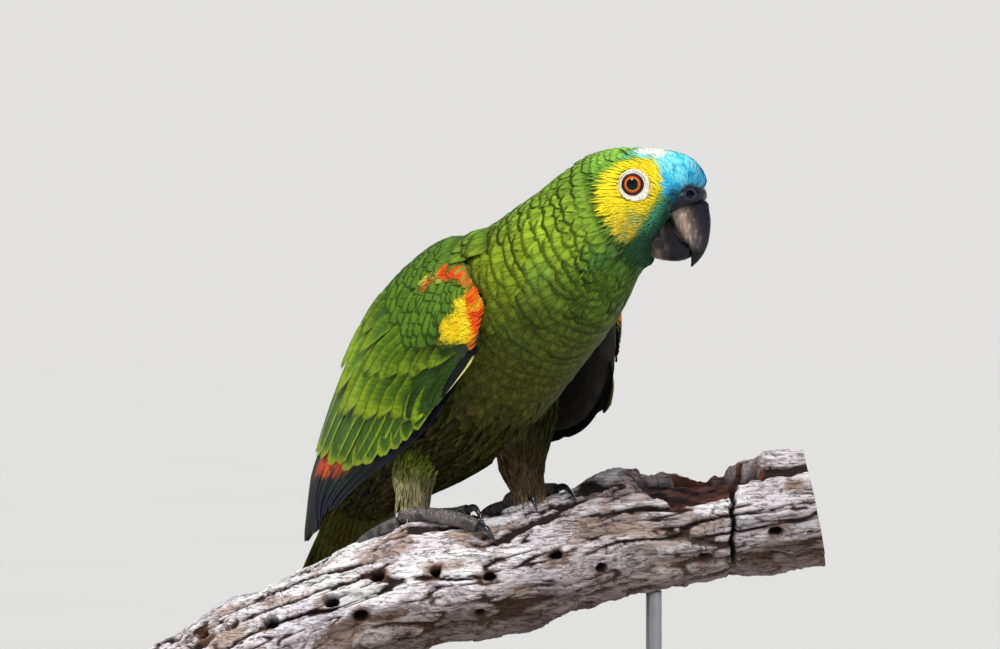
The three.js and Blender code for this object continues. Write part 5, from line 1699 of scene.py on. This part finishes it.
def build_tail():
    flight, coverts = Coat(), Coat()
    large = 2 * TAIL_PAIRS
    for slot in range(large):
        side, k = (1, -1)[slot // TAIL_PAIRS], slot % TAIL_PAIRS
        share = k / (TAIL_PAIRS - 1)
        depth = (k + 0.5 * (side < 0)) * 1.15
        root, tip = (0.0, side * (1.4 + 10.6 * share)), (1 - 0.12 * share**2, side * (2.8 + 21.2 * share))
        grown = vanes(
            TAIL_FACE, [root], [tip], 15, 40, 15, rise=(-0.6 * depth - 0.3, -depth - 0.3), waist=0.75,
            taper=0.1, tip_round=0.05, rag=0.003, camber=0.04, shaft=0.35, nicks=0.04, square=2.4,
        )
        colour, below = tail_paint(grown, side, k)
        flight.add(grown, colour, 0.3, np.array([((slot + 0.5) / large, 0.5)]), (0.86 / large, 0.94), below)
    for above, length, height, pairs, root_spread, tip_spread in TAIL_COVERTS:
        face = Surface(tail_at, -above, TAIL_FACE.steps)
        order = np.arange(-pairs, pairs + 1)
        share, side = np.abs(order) / pairs, np.sign(order)
        drop = 1.05 * np.abs(order) + 0.5 * (order < 0)
        base, end = TAIL_COVERT_COLOURS[above]
        for layer, (start, scale, extra) in enumerate(((0.0, 0.7, 0.6), (0.01, 1.0, 0))):
            reach = start + scale * length * (1 - 0.22 * share**1.5) / TAIL["length"]
            root = np.stack([np.full(len(order), start), side * share * root_spread], -1)
            grown = vanes(
                face, root, np.stack([reach, side * share * tip_spread], -1), 11.5, 18, 11,
                rise=(height[0] - 0.5 * drop, height[1] - drop + extra), waist=0.7, taper=0.2,
                tip_round=0.28, rag=0.03, camber=0.09, tilt=rng.normal(0, 0.03, len(order)), shaft=0.15,
                square=2.2,
            )
            colour = blend(base, end, grown["v"]) * (1 + 0.15 * noise(grown["points"], 6, 52)[..., None])
            along = 0.05 + 0.3 * root[:, 0] + 0.2 * layer + 0.25 * (above < 0)
            patch = np.stack([along, 0.5 + root[:, 1] / 60], -1)
            coverts.add(grown, varied(colour, 0.08), 0.35, patch)
    dress(flight.piece("tail_flight"), FLIGHT, "tail_feathers", "tail")
    dress(coverts.piece("tail_coverts"), CONTOUR, "tail_feathers")


# ---------- Swept forms ----------


def swept(rings, name, colour):
    """A closed piece over rings of points, (rows, sides, 3), each with its colour."""
    tint = np.concatenate([colour.reshape(-1, 3), colour[[0, -1]].mean(1)])
    return mesh_piece(name, *closed(rings), tint=tint)


def tube_rings(path, radii, rows, sides, relief=None, start=UP):
    """Rings of a tube on a smooth path, with a relief on its radius given by (share, angle)."""
    t, angle = np.linspace(0, 1, rows), round_ring(sides)
    middle, radius = spline(path, t), spline(radii, t)
    tangent = unit(np.gradient(middle, axis=0))
    across = unit(np.cross(tangent, start))
    over = np.cross(across, tangent)
    size = radius + (relief(t[:, None], angle[None]) if relief else 0 * angle)
    offset = np.cos(angle)[:, None] * over[:, None] + np.sin(angle)[:, None] * across[:, None]
    return middle[:, None] + offset * size[..., None]


def raised(rings, height):
    """Rings moved out from their middles by a height."""
    return rings + unit(rings - rings.mean(1, keepdims=True)) * height[..., None]


# ---------- Head: bill, cere, eyes ----------

# Stations of the bill and tongue from root to tip: upper and lower line as ahead and up of the eyes' middle,
# and half width.
UPPER_BILL = [
    ((14, -4), (10, -12), 7.5), ((24, -5), (14, -15.5), 8.4), ((32.6, -8), (16.4, -20), 8.2),
    ((34.3, -14), (18.9, -24.6), 7.4), ((34.8, -20), (21.2, -28.2), 6.4), ((34.2, -26), (23.8, -29.8), 5),
    ((32.4, -32), (24.9, -33.8), 3.6), ((29.3, -36.8), (25.2, -37.3), 2.2), ((25.8, -40.2), (25, -40), 0.6),
]
LOWER_BILL = [
    ((0, -16), (-3, -30), 7), ((7, -14.5), (1.5, -34), 7.6), ((13.6, -16.4), (7, -36), 7.8),
    ((18.2, -21), (12.5, -37.3), 7.3), ((21.2, -26), (17.5, -37.5), 6.2), ((23.4, -28.6), (21.5, -37), 4.8),
    ((25, -30), (25, -35.6), 3.2),
]
TONGUE = [
    ((4, -14), (2, -22), 5), ((14, -15), (10, -25), 5.4),
    ((20, -19), (16, -29), 5), ((23.6, -25), (20.5, -31), 3.6),
]


def bill_rings(profile, ridge, rows, sides):
    """Rings in the head's frame, with the share along and the angle round at each point."""
    t, angle = grid(np.linspace(0, 1, rows), round_ring(sides))
    high, low, half = (spline([station[k] for station in profile], t[:, 0])[:, None] for k in range(3))
    middle, rise, lift = (high + low) / 2, (high - low) / 2, np.cos(angle)
    side = half[..., 0] * np.sin(angle) * (1 - ridge * lift)
    ahead, up = (middle[..., k] + rise[..., k] * lift for k in (0, 1))
    return np.stack([ahead, side, up], -1), t, angle


def head_to_world(places):
    return in_head(*np.split(places, 3, -1))


def growth(t, angle, length, size, seed):
    """Faint lines of growth round a bill."""
    return noise(np.stack([t * length, angle * 1.5, 0 * t], -1), size, seed)


def side_noise(places, size, seed):
    """Noise that is the same through the bill from side to side."""
    return noise(places[..., [0, 2, 2]] * (1, 1, 0), size, seed)


def build_upper_bill():
    places, t, angle = bill_rings(UPPER_BILL, 0.2, 120, 96)
    side_ridge = bell(np.cos(angle), 0.35, 0.16) * ease(0.1, 0.3, t) * ease(0.95, 0.6, t)
    places = raised(places, growth(t, angle, 60, (2.2, 3, 1), 61) * 0.12 + side_ridge * 0.22)
    ahead, up = places[..., 0], places[..., 2]
    streak = bell(ahead, 19.5 + 0.32 * (-8 - up), 4.2) * ease(-34, -22, up) * ease(-5, -9, up)
    mottle = ease(-0.5, 0.6, side_noise(places, (1.6, 5, 1), 62))
    painted_glints = ease(0.2, 0.6, side_noise(places, (0.8, 2.6, 1), 68)) * streak
    pale = bell(ahead, 16.4 + 0.30 * (-8 - up), 1.1) * ease(-24, -14, up)
    colour = blend(srgb(12, 12, 15), srgb(17, 20, 34), ease(24, 32, ahead))
    # The pale brown patch is the horn's own colour brightened as a painted highlight, and the whitish flecks
    # in it are painted glints.
    colour = blend(colour, srgb(176, 152, 138), streak * (0.6 + 0.35 * mottle))
    colour = blend(colour, srgb(236, 222, 208), painted_glints * 0.45)
    colour = blend(colour, srgb(176, 158, 140), pale * 0.5)
    dress(swept(head_to_world(places), "bill_upper_horn", colour), HORN, "bill_horn", "bill_upper")


def build_tongue():
    tongue = head_to_world(bill_rings(TONGUE, 0, 30, 40)[0])
    colour = blend(srgb(18, 15, 17), srgb(40, 32, 34), ease(-0.4, 0.6, noise(tongue, 2, 66)))
    dress(swept(tongue, "tongue", colour), HORN, "bill_horn")


def build_lower_bill():
    places, t, angle = bill_rings(LOWER_BILL, 0.04, 80, 80)
    peel = ease(0.25, 0.32, noise(places, (3.4, 9, 4), 67))
    places = raised(places, growth(t, angle, 40, (2, 3, 1), 63) * 0.12 + peel * 0.12)
    world = head_to_world(places)
    mottle = ease(-0.4, 0.6, side_noise(places, (2.2, 5, 1), 64))
    colour = blend(srgb(78, 70, 68), srgb(138, 118, 100), mottle * 0.6)
    colour = blend(colour, srgb(34, 32, 38), ease(0.3, 0.5, noise(places, (5, 9, 5), 69)) * 0.8)
    colour = blend(colour, srgb(196, 180, 164), bell(noise(places, (3.4, 9, 4), 67), 0.28, 0.05) * 0.5)
    front = ease(10.5, 16.5, places[..., 0] + 1.6 * noise(world, 3, 65))
    colour = blend(colour, srgb(20, 19, 25), front)
    dress(swept(world, "bill_lower_horn", colour), HORN, "bill_horn", "bill_lower")


# The cere's band over the bill's root, as ahead, right and up of the eyes' middle.
CERE = [
    (15.5, 9.2, -12.5), (21.5, 8.6, -7.8), (26.5, 5, -5.6),
    (28.2, 0, -5), (26.5, -5, -5.6), (21.5, -8.6, -7.8),
    (15.5, -9.2, -12.5),
]
CERE_RADII = [2.4, 3.9, 4.6, 4.4, 4.6, 3.9, 2.4]


def build_cere():
    rings = tube_rings([in_head(*p) for p in CERE], CERE_RADII, 220, 120)
    out = unit(rings - rings.mean(1, keepdims=True))
    rings = rings + out * (noise(rings, 3, 71) * 0.18 + noise(rings, 1.2, 72) * 0.08)[..., None]
    colour = blend(srgb(13, 16, 27), srgb(28, 34, 54), ease(-0.3, 0.6, noise(rings, 2.6, 73)))
    radius = NOSTRIL["radius"]
    for side in (1, -1):
        ahead, right, up = NOSTRIL["at"]
        at, aim = in_head(ahead, side * right, up), head_way(NOSTRIL["aim"], side)
        d = rings - at
        deep = (d @ aim)[..., None]
        off = np.linalg.norm(d - deep * aim, axis=-1)
        near = deep[..., 0] > -4.5
        hole = ease(radius * 1.15, radius * 0.7, off) * near
        brim = bell(off, radius * 1.5, 0.55) * near
        rings = rings - aim * (hole * NOSTRIL["depth"])[..., None] + out * (brim * 0.45)[..., None]
        # Near-black inside each nostril: painted shade in the hole.
        colour = blend(blend(colour, srgb(5, 5, 7), hole), srgb(50, 52, 70), brim * 0.6)
    dress(swept(rings, "cere_band", colour), CERE_SKIN, "cere_skin", "cere")


LID_FORM = {"inner": 4.55, "rim": 5.5, "over_skin": 0.75, "over_ball": 0.35}


def eye_piece(name, side, points, **data):
    """A piece over a grid that turns round an eye, facing out on both sides of the head."""
    quads = grid_quads(*points.shape[:2], True)
    return mesh_piece(name, points.reshape(-1, 3), quads if side > 0 else quads[:, ::-1], **data)


def build_eyeball(name, side):
    centre, aim, ahead, up = eye_frame(side)
    radius = EYE_FORM["radius"]
    lean = np.concatenate([np.linspace(0.001, 1.25, 90), np.linspace(1.3, math.pi - 0.01, 30)])
    off, turn = grid(lean, round_ring(128))
    across = np.cos(turn)[..., None] * ahead + np.sin(turn)[..., None] * up
    way = np.cos(off)[..., None] * aim + np.sin(off)[..., None] * across
    points = centre + way * (radius + 0.25 * ease(0.95, 0.3, off))[..., None]
    reach = np.where(off < math.pi / 2, np.sin(off) * radius, radius)
    piece = eye_piece(f"eyeball_{name}", side, points, floats={"Out": reach, "Turn": np.abs(turn - math.pi)})
    dress(piece, EYE, "eye", f"eye_{name}")


def skin_level(tree, flat, centre, aim):
    """How far out the skin lies over each place of a flat grid, found for every second column."""
    level = np.zeros(flat.shape[:2])
    for i, j in itertools.product(range(level.shape[0]), range(0, level.shape[1], 2)):
        hit = tree.ray_cast(Vector(flat[i, j] + aim * 16), Vector(-aim), 30)[0]
        level[i, j : j + 2] = 5.0 if hit is None else (np.array(hit) - centre) @ aim
    return level


def build_lids(name, side, tree):
    """The lids: a dark beaded rim on the eyeball, then bare wrinkled skin out to the feathers."""
    centre, aim, ahead, up = eye_frame(side)
    share, turn = grid(np.linspace(0, 1, 46), round_ring(240))
    cos, sin = np.cos(turn), np.sin(turn)
    inner = LID_FORM["inner"] * (1 - 0.05 * np.abs(sin))
    reach = inner + (bare_reach(turn) + 0.5 - inner) * share
    flat = centre + (cos * reach)[..., None] * ahead + (sin * reach)[..., None] * up
    over_ball = np.sqrt(np.maximum(EYE_FORM["radius"] ** 2 - reach**2, 0.0)) + LID_FORM["over_ball"]
    on_skin = ease(LID_FORM["rim"] - 0.3, LID_FORM["rim"] + 1.3, reach)
    over_skin = skin_level(tree, flat, centre, aim) + LID_FORM["over_skin"]
    height = over_ball * (1 - on_skin) + over_skin * on_skin
    lip = bell(reach, 5.1, 0.5) * 0.6
    beads = bell(reach, 5.7, 0.3) * 0.15 * (0.5 + 0.5 * np.cos(turn * 46))
    swirl = noise(np.stack([cos * 5, sin * 5, reach * 0.6], -1), 1.0, 81)
    broken = ease(-0.5, 0.3, noise(np.stack([cos * 9, sin * 9, reach * 1.2], -1), 1.0, 84))
    wrinkle = np.sin((reach - 5.6) * 8 + 3 * swirl) * ease(6.3, 7.4, reach) * broken
    tuck = -1.8 * ease(0.84, 1.0, share) - 1.2 * ease(0.06, 0.0, share)
    height = height + lip + beads + wrinkle * 0.18 * ease(1, 0.8, share) + tuck
    points = flat + height[..., None] * aim
    stain = ease(0.0, 0.8, noise(points, 1.6, 82))
    colour = blend(srgb(246, 240, 222), srgb(206, 192, 166), stain * 0.5)
    # Brown-dark in the wrinkles' grooves: painted shade in the creases.
    colour = blend(colour, srgb(84, 64, 44), ease(-0.2, -0.95, wrinkle) * 0.8)
    colour = blend(colour, srgb(18, 14, 14), ease(5.75, 5.35, reach + 0.12 * noise(points, 1.2, 83)))
    dress(eye_piece(f"eyelid_{name}", side, points, tint=colour), LID_SKIN, "head_feathers")


# ---------- Feet ----------

GAP = 0.35  # between the soles and the bark
CLAW_RADII = (2.1, 1.5, 0.35)
SHANK_RADII = (3.4, 5.3, 4.4, 4.4)


def scutes(length):
    """Relief of a scaled toe: broad plates over the top, small round scales elsewhere."""

    def relief(share, angle):
        along = share * length
        plate = (along / 1.2 + 0.5 * np.sin(along * 1.3) + 0.25 * np.sin(angle * 3 + along)) % 1
        top = ease(0.15, 0.6, np.cos(angle))
        step = 0.34 * plate**0.5 * ease(1.0, 0.7, plate)
        rows = (along / 1.3 + 0.5 * (np.floor(angle / 0.62) % 2)) % 1
        pebble = 0.34 * np.sin(np.pi * rows) * np.abs(np.cos(angle / 0.62 * np.pi * 0.5 + np.pi / 4)) ** 0.5
        return step * top + pebble * (1 - top)

    return relief


def dips(rings):
    """How far points of a tube stand out over those before and after them, and 0 for the hubs of its ends."""
    size = np.linalg.norm(rings - rings.mean(1, keepdims=True), axis=-1)
    smoothed = sum(np.roll(size, k, 0) for k in range(-3, 4)) / 7
    return np.append(size - smoothed, (0, 0))


def build_claw(name, toe, base, out):
    path = zip(LEGS[name]["claws"][toe], (base + 0.4, base + 1, 0.9))
    places = [over_bark(place, height + GAP) for place, height in path]
    rings = tube_rings(places, CLAW_RADII, 60, 40, lambda s, a: 0.06 * np.sin(s * 60 + np.cos(a)), out)
    colour = blend(srgb(24, 26, 34), srgb(54, 56, 66), ease(-0.2, 0.6, noise(rings, 2, 91)) * 0.7)
    dress(swept(rings, f"claw_{name}_{toe}_horn", colour), CLAW, "claw_horn", f"claw_{name}_{toe}")


def build_foot(name):
    leg = LEGS[name]
    tubes = []
    for toe, (path, radii) in leg["toes"].items():
        middles = [over_bark(place, radius + GAP) for place, radius in zip(path, radii)]
        length = path_length(spline(middles, np.linspace(0, 1, 50)))
        halfway = path[len(path) // 2]
        out = over_bark(halfway, 10) - over_bark(halfway, 0)
        tubes.append(tube_rings(middles, radii, 90, 56, scutes(length), out))
        build_claw(name, toe, radii[-1], out)
    top, pad = in_body(*leg["ankle"]), over_bark(leg["foot"], 4)
    up = unit(top - pad)
    shank = [pad - up * 3, pad, (top + pad) / 2, top + up * 1.5]
    tubes.append(tube_rings(shank, SHANK_RADII, 70, 64, scutes(14), heading(BODY_YAW)))
    points, quads, fans = joined([closed(rings) for rings in tubes])
    # Near-black where the scales dip in: painted shade between the scales.
    hollow = ease(0.0, -0.12, np.concatenate([dips(rings) for rings in tubes]))
    colour = blend(srgb(104, 99, 98), srgb(60, 56, 57), ease(-0.4, 0.6, noise(points, 2.4, 92)))
    colour = blend(colour, srgb(158, 146, 130), ease(0.2, 0.8, noise(points, 1.2, 93)) * 0.6)
    colour = blend(colour, srgb(22, 19, 19), hollow * 0.9)
    piece = mesh_piece(f"foot_{name}", points, quads, fans, tint=colour)
    dress(piece, SCALE_SKIN, "leg_skin", f"shank_{name}", *[f"toe_{name}_{toe}" for toe in leg["toes"]])


# ---------- Branch ----------

BRANCH_CELLS = (560, 260)
# Cracks: size of their net, depth, width, seed, and size of the patches that they come in.
GROOVES = [((46, 6, 6), 3.0, 0.26, 101, (34, 14, 14)), ((24, 3.4, 3.4), 1.7, 0.2, 102, (18, 9, 9))]
CREASES = [((12, 1.9, 1.9), 0.8, 0.22, 103, (9, 5, 5)), ((7, 1.3, 1.3), 0.4, 0.25, 104, (5, 3, 3))]
POCKET = {"x": 116, "angle": 18, "length": 33, "spread": 44, "floor": -8.5}
SPLIT = {"x": 130.5, "lean": 0.12, "wander": 1.3, "depth": 5.0}
PLATE_STEP, HOLE_DEPTH = 0.85, 6.5


def bark_form(x, angle, wrap):
    """The bark's relief, then its marks: plates' levels, dark cracks, rot and its rim, stains, and holes."""
    lean = wrap.copy()
    lean[..., 1:] += np.stack([x * 0.05, -x * 0.04], -1)
    lean = lean + 2.2 * noise(wrap, (26, 9, 9), 124)[..., None] * np.array((0, 1, 1))

    def cracks(size, depth, width, seed, spread):
        line = ease(width, 0.0, np.abs(noise(lean, size, seed)))
        return -depth * line * ease(-0.35, 0.25, noise(wrap, spread, seed + 40))

    groove, crease = (sum(cracks(*crack) for crack in kind) for kind in (GROOVES, CREASES))
    flakes = noise(lean + 2.5 * noise(wrap, 7, 106)[..., None], (19, 6.5, 6.5), 105) * 3.2
    level = np.floor(flakes) + ease(0.72, 0.92, flakes - np.floor(flakes))
    rough = noise(wrap, (2.6, 1.5, 1.5), 107) * 0.35 + noise(wrap, (1.1, 0.8, 0.8), 108) * 0.2
    checks = ease(0.1, 0.0, np.abs(noise(wrap, (1.6, 9, 9), 109)))
    checks = -0.8 * checks * ease(0.1, 0.6, noise(wrap, 20, 125))
    forms = bark_relief(x, angle, pocket=False)
    relief = forms + groove + crease + level * PLATE_STEP + rough + checks
    dark = ease(-0.25, -1.7, groove + crease * 1.3 + checks + rough * 0.6)

    # The rotted pocket in the top, with a broken rim and a rough floor.
    around = np.degrees(turn_from(POCKET["angle"], angle))
    ragged = noise(wrap, (7, 5, 5), 110) * 0.22 + noise(wrap, 2.5, 111) * 0.08
    shape = ((x - POCKET["x"]) / POCKET["length"]) ** 2 + (around / POCKET["spread"]) ** 2 + ragged
    rot = ease(1.08, 0.82, shape)
    floor = POCKET["floor"] + 1.6 * noise(wrap, (9, 6, 6), 112) + 0.8 * noise(wrap, (3, 2, 2), 113)
    relief = relief * (1 - rot) + (forms * 0.6 + floor) * rot

    # A split across the branch, and beetles' holes with stains round them.
    split_at = SPLIT["x"] + SPLIT["lean"] * wrap[..., 1] + SPLIT["wander"] * noise(wrap, (50, 5, 5), 114)
    side = ease(0.0, 0.35, np.sin(angle)) * ease(-0.95, -0.7, np.cos(angle))
    split = ease(1.7, 0.8, np.abs(x - split_at)) * side
    wobble = 1 + 0.4 * noise(wrap, 3, 115)
    off = np.full(x.shape, 99.0)
    for at, degrees, radius in HOLES:
        away = np.hypot((x - at) * 0.85, turn_from(degrees, angle) * MEAN_RADIUS)
        off = np.minimum(off, away / (radius * wobble))
    holes = ease(1.0, 0.72, off)
    stain = ease(2.1, 1.0, off) * ease(-0.6, 0.2, noise(wrap, 4, 116))
    relief = relief - SPLIT["depth"] * split - HOLE_DEPTH * holes
    return relief, level, dark, rot, bell(shape, 1.05, 0.1), stain, np.maximum(holes, split)


def bark_paint(x, angle, wrap, level, dark, rot, rim, stain, holes):
    tone = ease(-0.7, 0.7, noise(wrap, (26, 12, 12), 117))
    bare = ease(0.4, -1.6, level) * ease(-0.5, 0.3, noise(wrap, (12, 6, 6), 118))
    under = ease(0.25, -0.7, np.cos(angle))
    colour = blend(srgb(216, 208, 214), srgb(252, 247, 252), tone)
    colour = blend(colour, srgb(150, 122, 100), bare * 0.8)
    colour = blend(colour, srgb(164, 162, 176), ease(0.2, 0.7, noise(wrap, (14, 8, 8), 119)) * 0.5)
    colour = blend(colour, srgb(92, 66, 50), np.clip(dark * 1.2, 0, 1) * 0.85)
    colour = blend(colour, srgb(44, 32, 30), ease(0.5, 1.0, dark))
    colour = blend(colour, srgb(120, 84, 60), stain * 0.75)
    colour = blend(colour, srgb(104, 80, 68), under * 0.7)
    colour = colour * (1 + 0.35 * ease(60, -60, x) * (1 - under))[..., None]
    colour = blend(colour, srgb(160, 96, 62), rim * 0.45)
    hollow = blend(srgb(74, 46, 42), srgb(112, 74, 66), ease(-0.4, 0.6, noise(wrap, (5, 3, 3), 120)))
    hollow = blend(hollow, srgb(26, 16, 15), ease(0.0, -0.6, noise(wrap, (8, 5, 5), 121)))
    # The beetles' holes and the split are painted near-black: painted shade inside them.
    return blend(blend(colour, hollow, rot), srgb(12, 9, 8), holes)


def sawn_end(rim):
    """Points and colours of a sawn face with growth rings, from inside its rim to its middle."""
    inward = np.linspace(1, 0, 26)[1:-1]
    middle = rim.mean(0)
    face = middle + (rim - middle) * inward[:, None, None]
    radius = np.linalg.norm(rim - middle, axis=-1) * inward[:, None]
    lines = 0.5 + 0.5 * np.sin(radius * 3.4 + 1.2 * noise(face, 7, 122))
    rays = ease(0.2, 0.0, np.abs(noise(unit(rim - middle) * 9, 1.5, 123)))
    paint = blend(srgb(196, 172, 140), srgb(140, 108, 80), lines * 0.7)
    paint = blend(paint, srgb(88, 64, 48), rays * ease(4, 12, radius) * 0.7)
    return np.vstack([face.reshape(-1, 3), middle]), np.vstack([paint.reshape(-1, 3), srgb(120, 90, 66)])


def build_branch():
    rows, sides = BRANCH_CELLS
    x, angle = grid(np.linspace(BRANCH[0][0], BRANCH[-1][0], rows), round_ring(sides))
    wrap = np.stack([x, MEAN_RADIUS * np.cos(angle), MEAN_RADIUS * np.sin(angle)], -1)
    relief, *marks = bark_form(x, angle, wrap)
    skin, _ = branch_point(x, angle, relief)
    points, tints = [skin.reshape(-1, 3)], [bark_paint(x, angle, wrap, *marks).reshape(-1, 3)]
    quads, fans = [grid_quads(rows, sides, True)], []
    for row, flip in ((0, True), (rows - 1, False)):
        start = sum(len(part) for part in points)
        face, paint = sawn_end(skin[row])
        hub = start + len(face) - 1
        index = np.append(row * sides + np.arange(sides), np.arange(start, hub)).reshape(-1, sides)
        after = np.roll(index, -1, 1)
        made = np.stack([index[:-1], after[:-1], after[1:], index[1:]], -1).reshape(-1, 4)
        quads.append(made[:, ::-1] if flip else made)
        fans.append(fan(hub - sides, sides, hub, flip))
        points.append(face)
        tints.append(paint)
    points, quads, fans, tints = (np.concatenate(parts) for parts in (points, quads, fans, tints))
    dress(mesh_piece("branch", points, quads, fans, tint=tints), BARK, "bark", "perch")


# ---------- Stand ----------


def build_plinth():
    corner, edge, height = BASE["corner"], BASE["edge"], BASE["thickness"]
    turn = np.concatenate([np.linspace(0, math.pi / 2, 14) + k * math.pi / 2 for k in range(4)])
    way = np.stack([np.cos(turn), np.sin(turn)], -1)
    quarter = np.repeat([(1, 1), (-1, 1), (-1, -1), (1, -1)], 14, 0)
    middle = quarter * (BASE["length"] / 2 - corner, BASE["width"] / 2 - corner)
    profile = [(-0.8, 0.0), (-0.25, 0.25), (0.0, 0.9)]
    for a in np.linspace(0, math.pi / 2, 9):
        profile.append((-edge * (1 - math.cos(a)), height - edge + edge * math.sin(a)))
    rings = [np.column_stack([middle + way * (corner + inset), 0 * turn + z]) for inset, z in profile]
    rings = np.stack(rings)
    dress(swept(rings, "stand_plinth", np.ones(rings.shape)), WOOD, "stand_wood", "stand_base")


def build_rods():
    angle = round_ring(ROD["sides"])
    way = np.stack([np.cos(angle), np.sin(angle), 0 * angle], -1)
    for name, at in zip(("left", "right"), ROD["at"]):
        bottom, top = (corner.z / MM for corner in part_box(f"stand_rod_{name}"))
        height = np.concatenate([[bottom], np.linspace(bottom + 0.5, top - 1.5, 30), [top - 0.5]])
        bevel = np.interp(height, [bottom, bottom + 0.5, top - 1.5, top - 0.5], [0.6, 0, 0, 0.3])
        middle = np.stack([at + 0 * height, 0 * height, height], -1)
        rings = middle[:, None] + (ROD["radius"] - bevel)[:, None, None] * way
        piece = swept(rings, f"stand_post_{name}", np.ones(rings.shape))
        dress(piece, STEEL, "stand_metal", f"stand_rod_{name}")


# ---------- The whole ----------

build_branch()
build_plinth()
build_rods()
build_skin()
build_body_coat()
build_thigh_coat()
for wing_name in SIDES:
    build_wing(wing_name)
build_tail()
build_upper_bill()
build_tongue()
build_lower_bill()
build_cere()
head_tree = grid_tree(BODY, np.linspace(0.55, 1, 120), round_ring(120), True)
for side_name, side_sign in SIDES.items():
    build_eyeball(side_name, side_sign)
    build_lids(side_name, side_sign, head_tree)
for leg_name in LEGS:
    build_foot(leg_name)
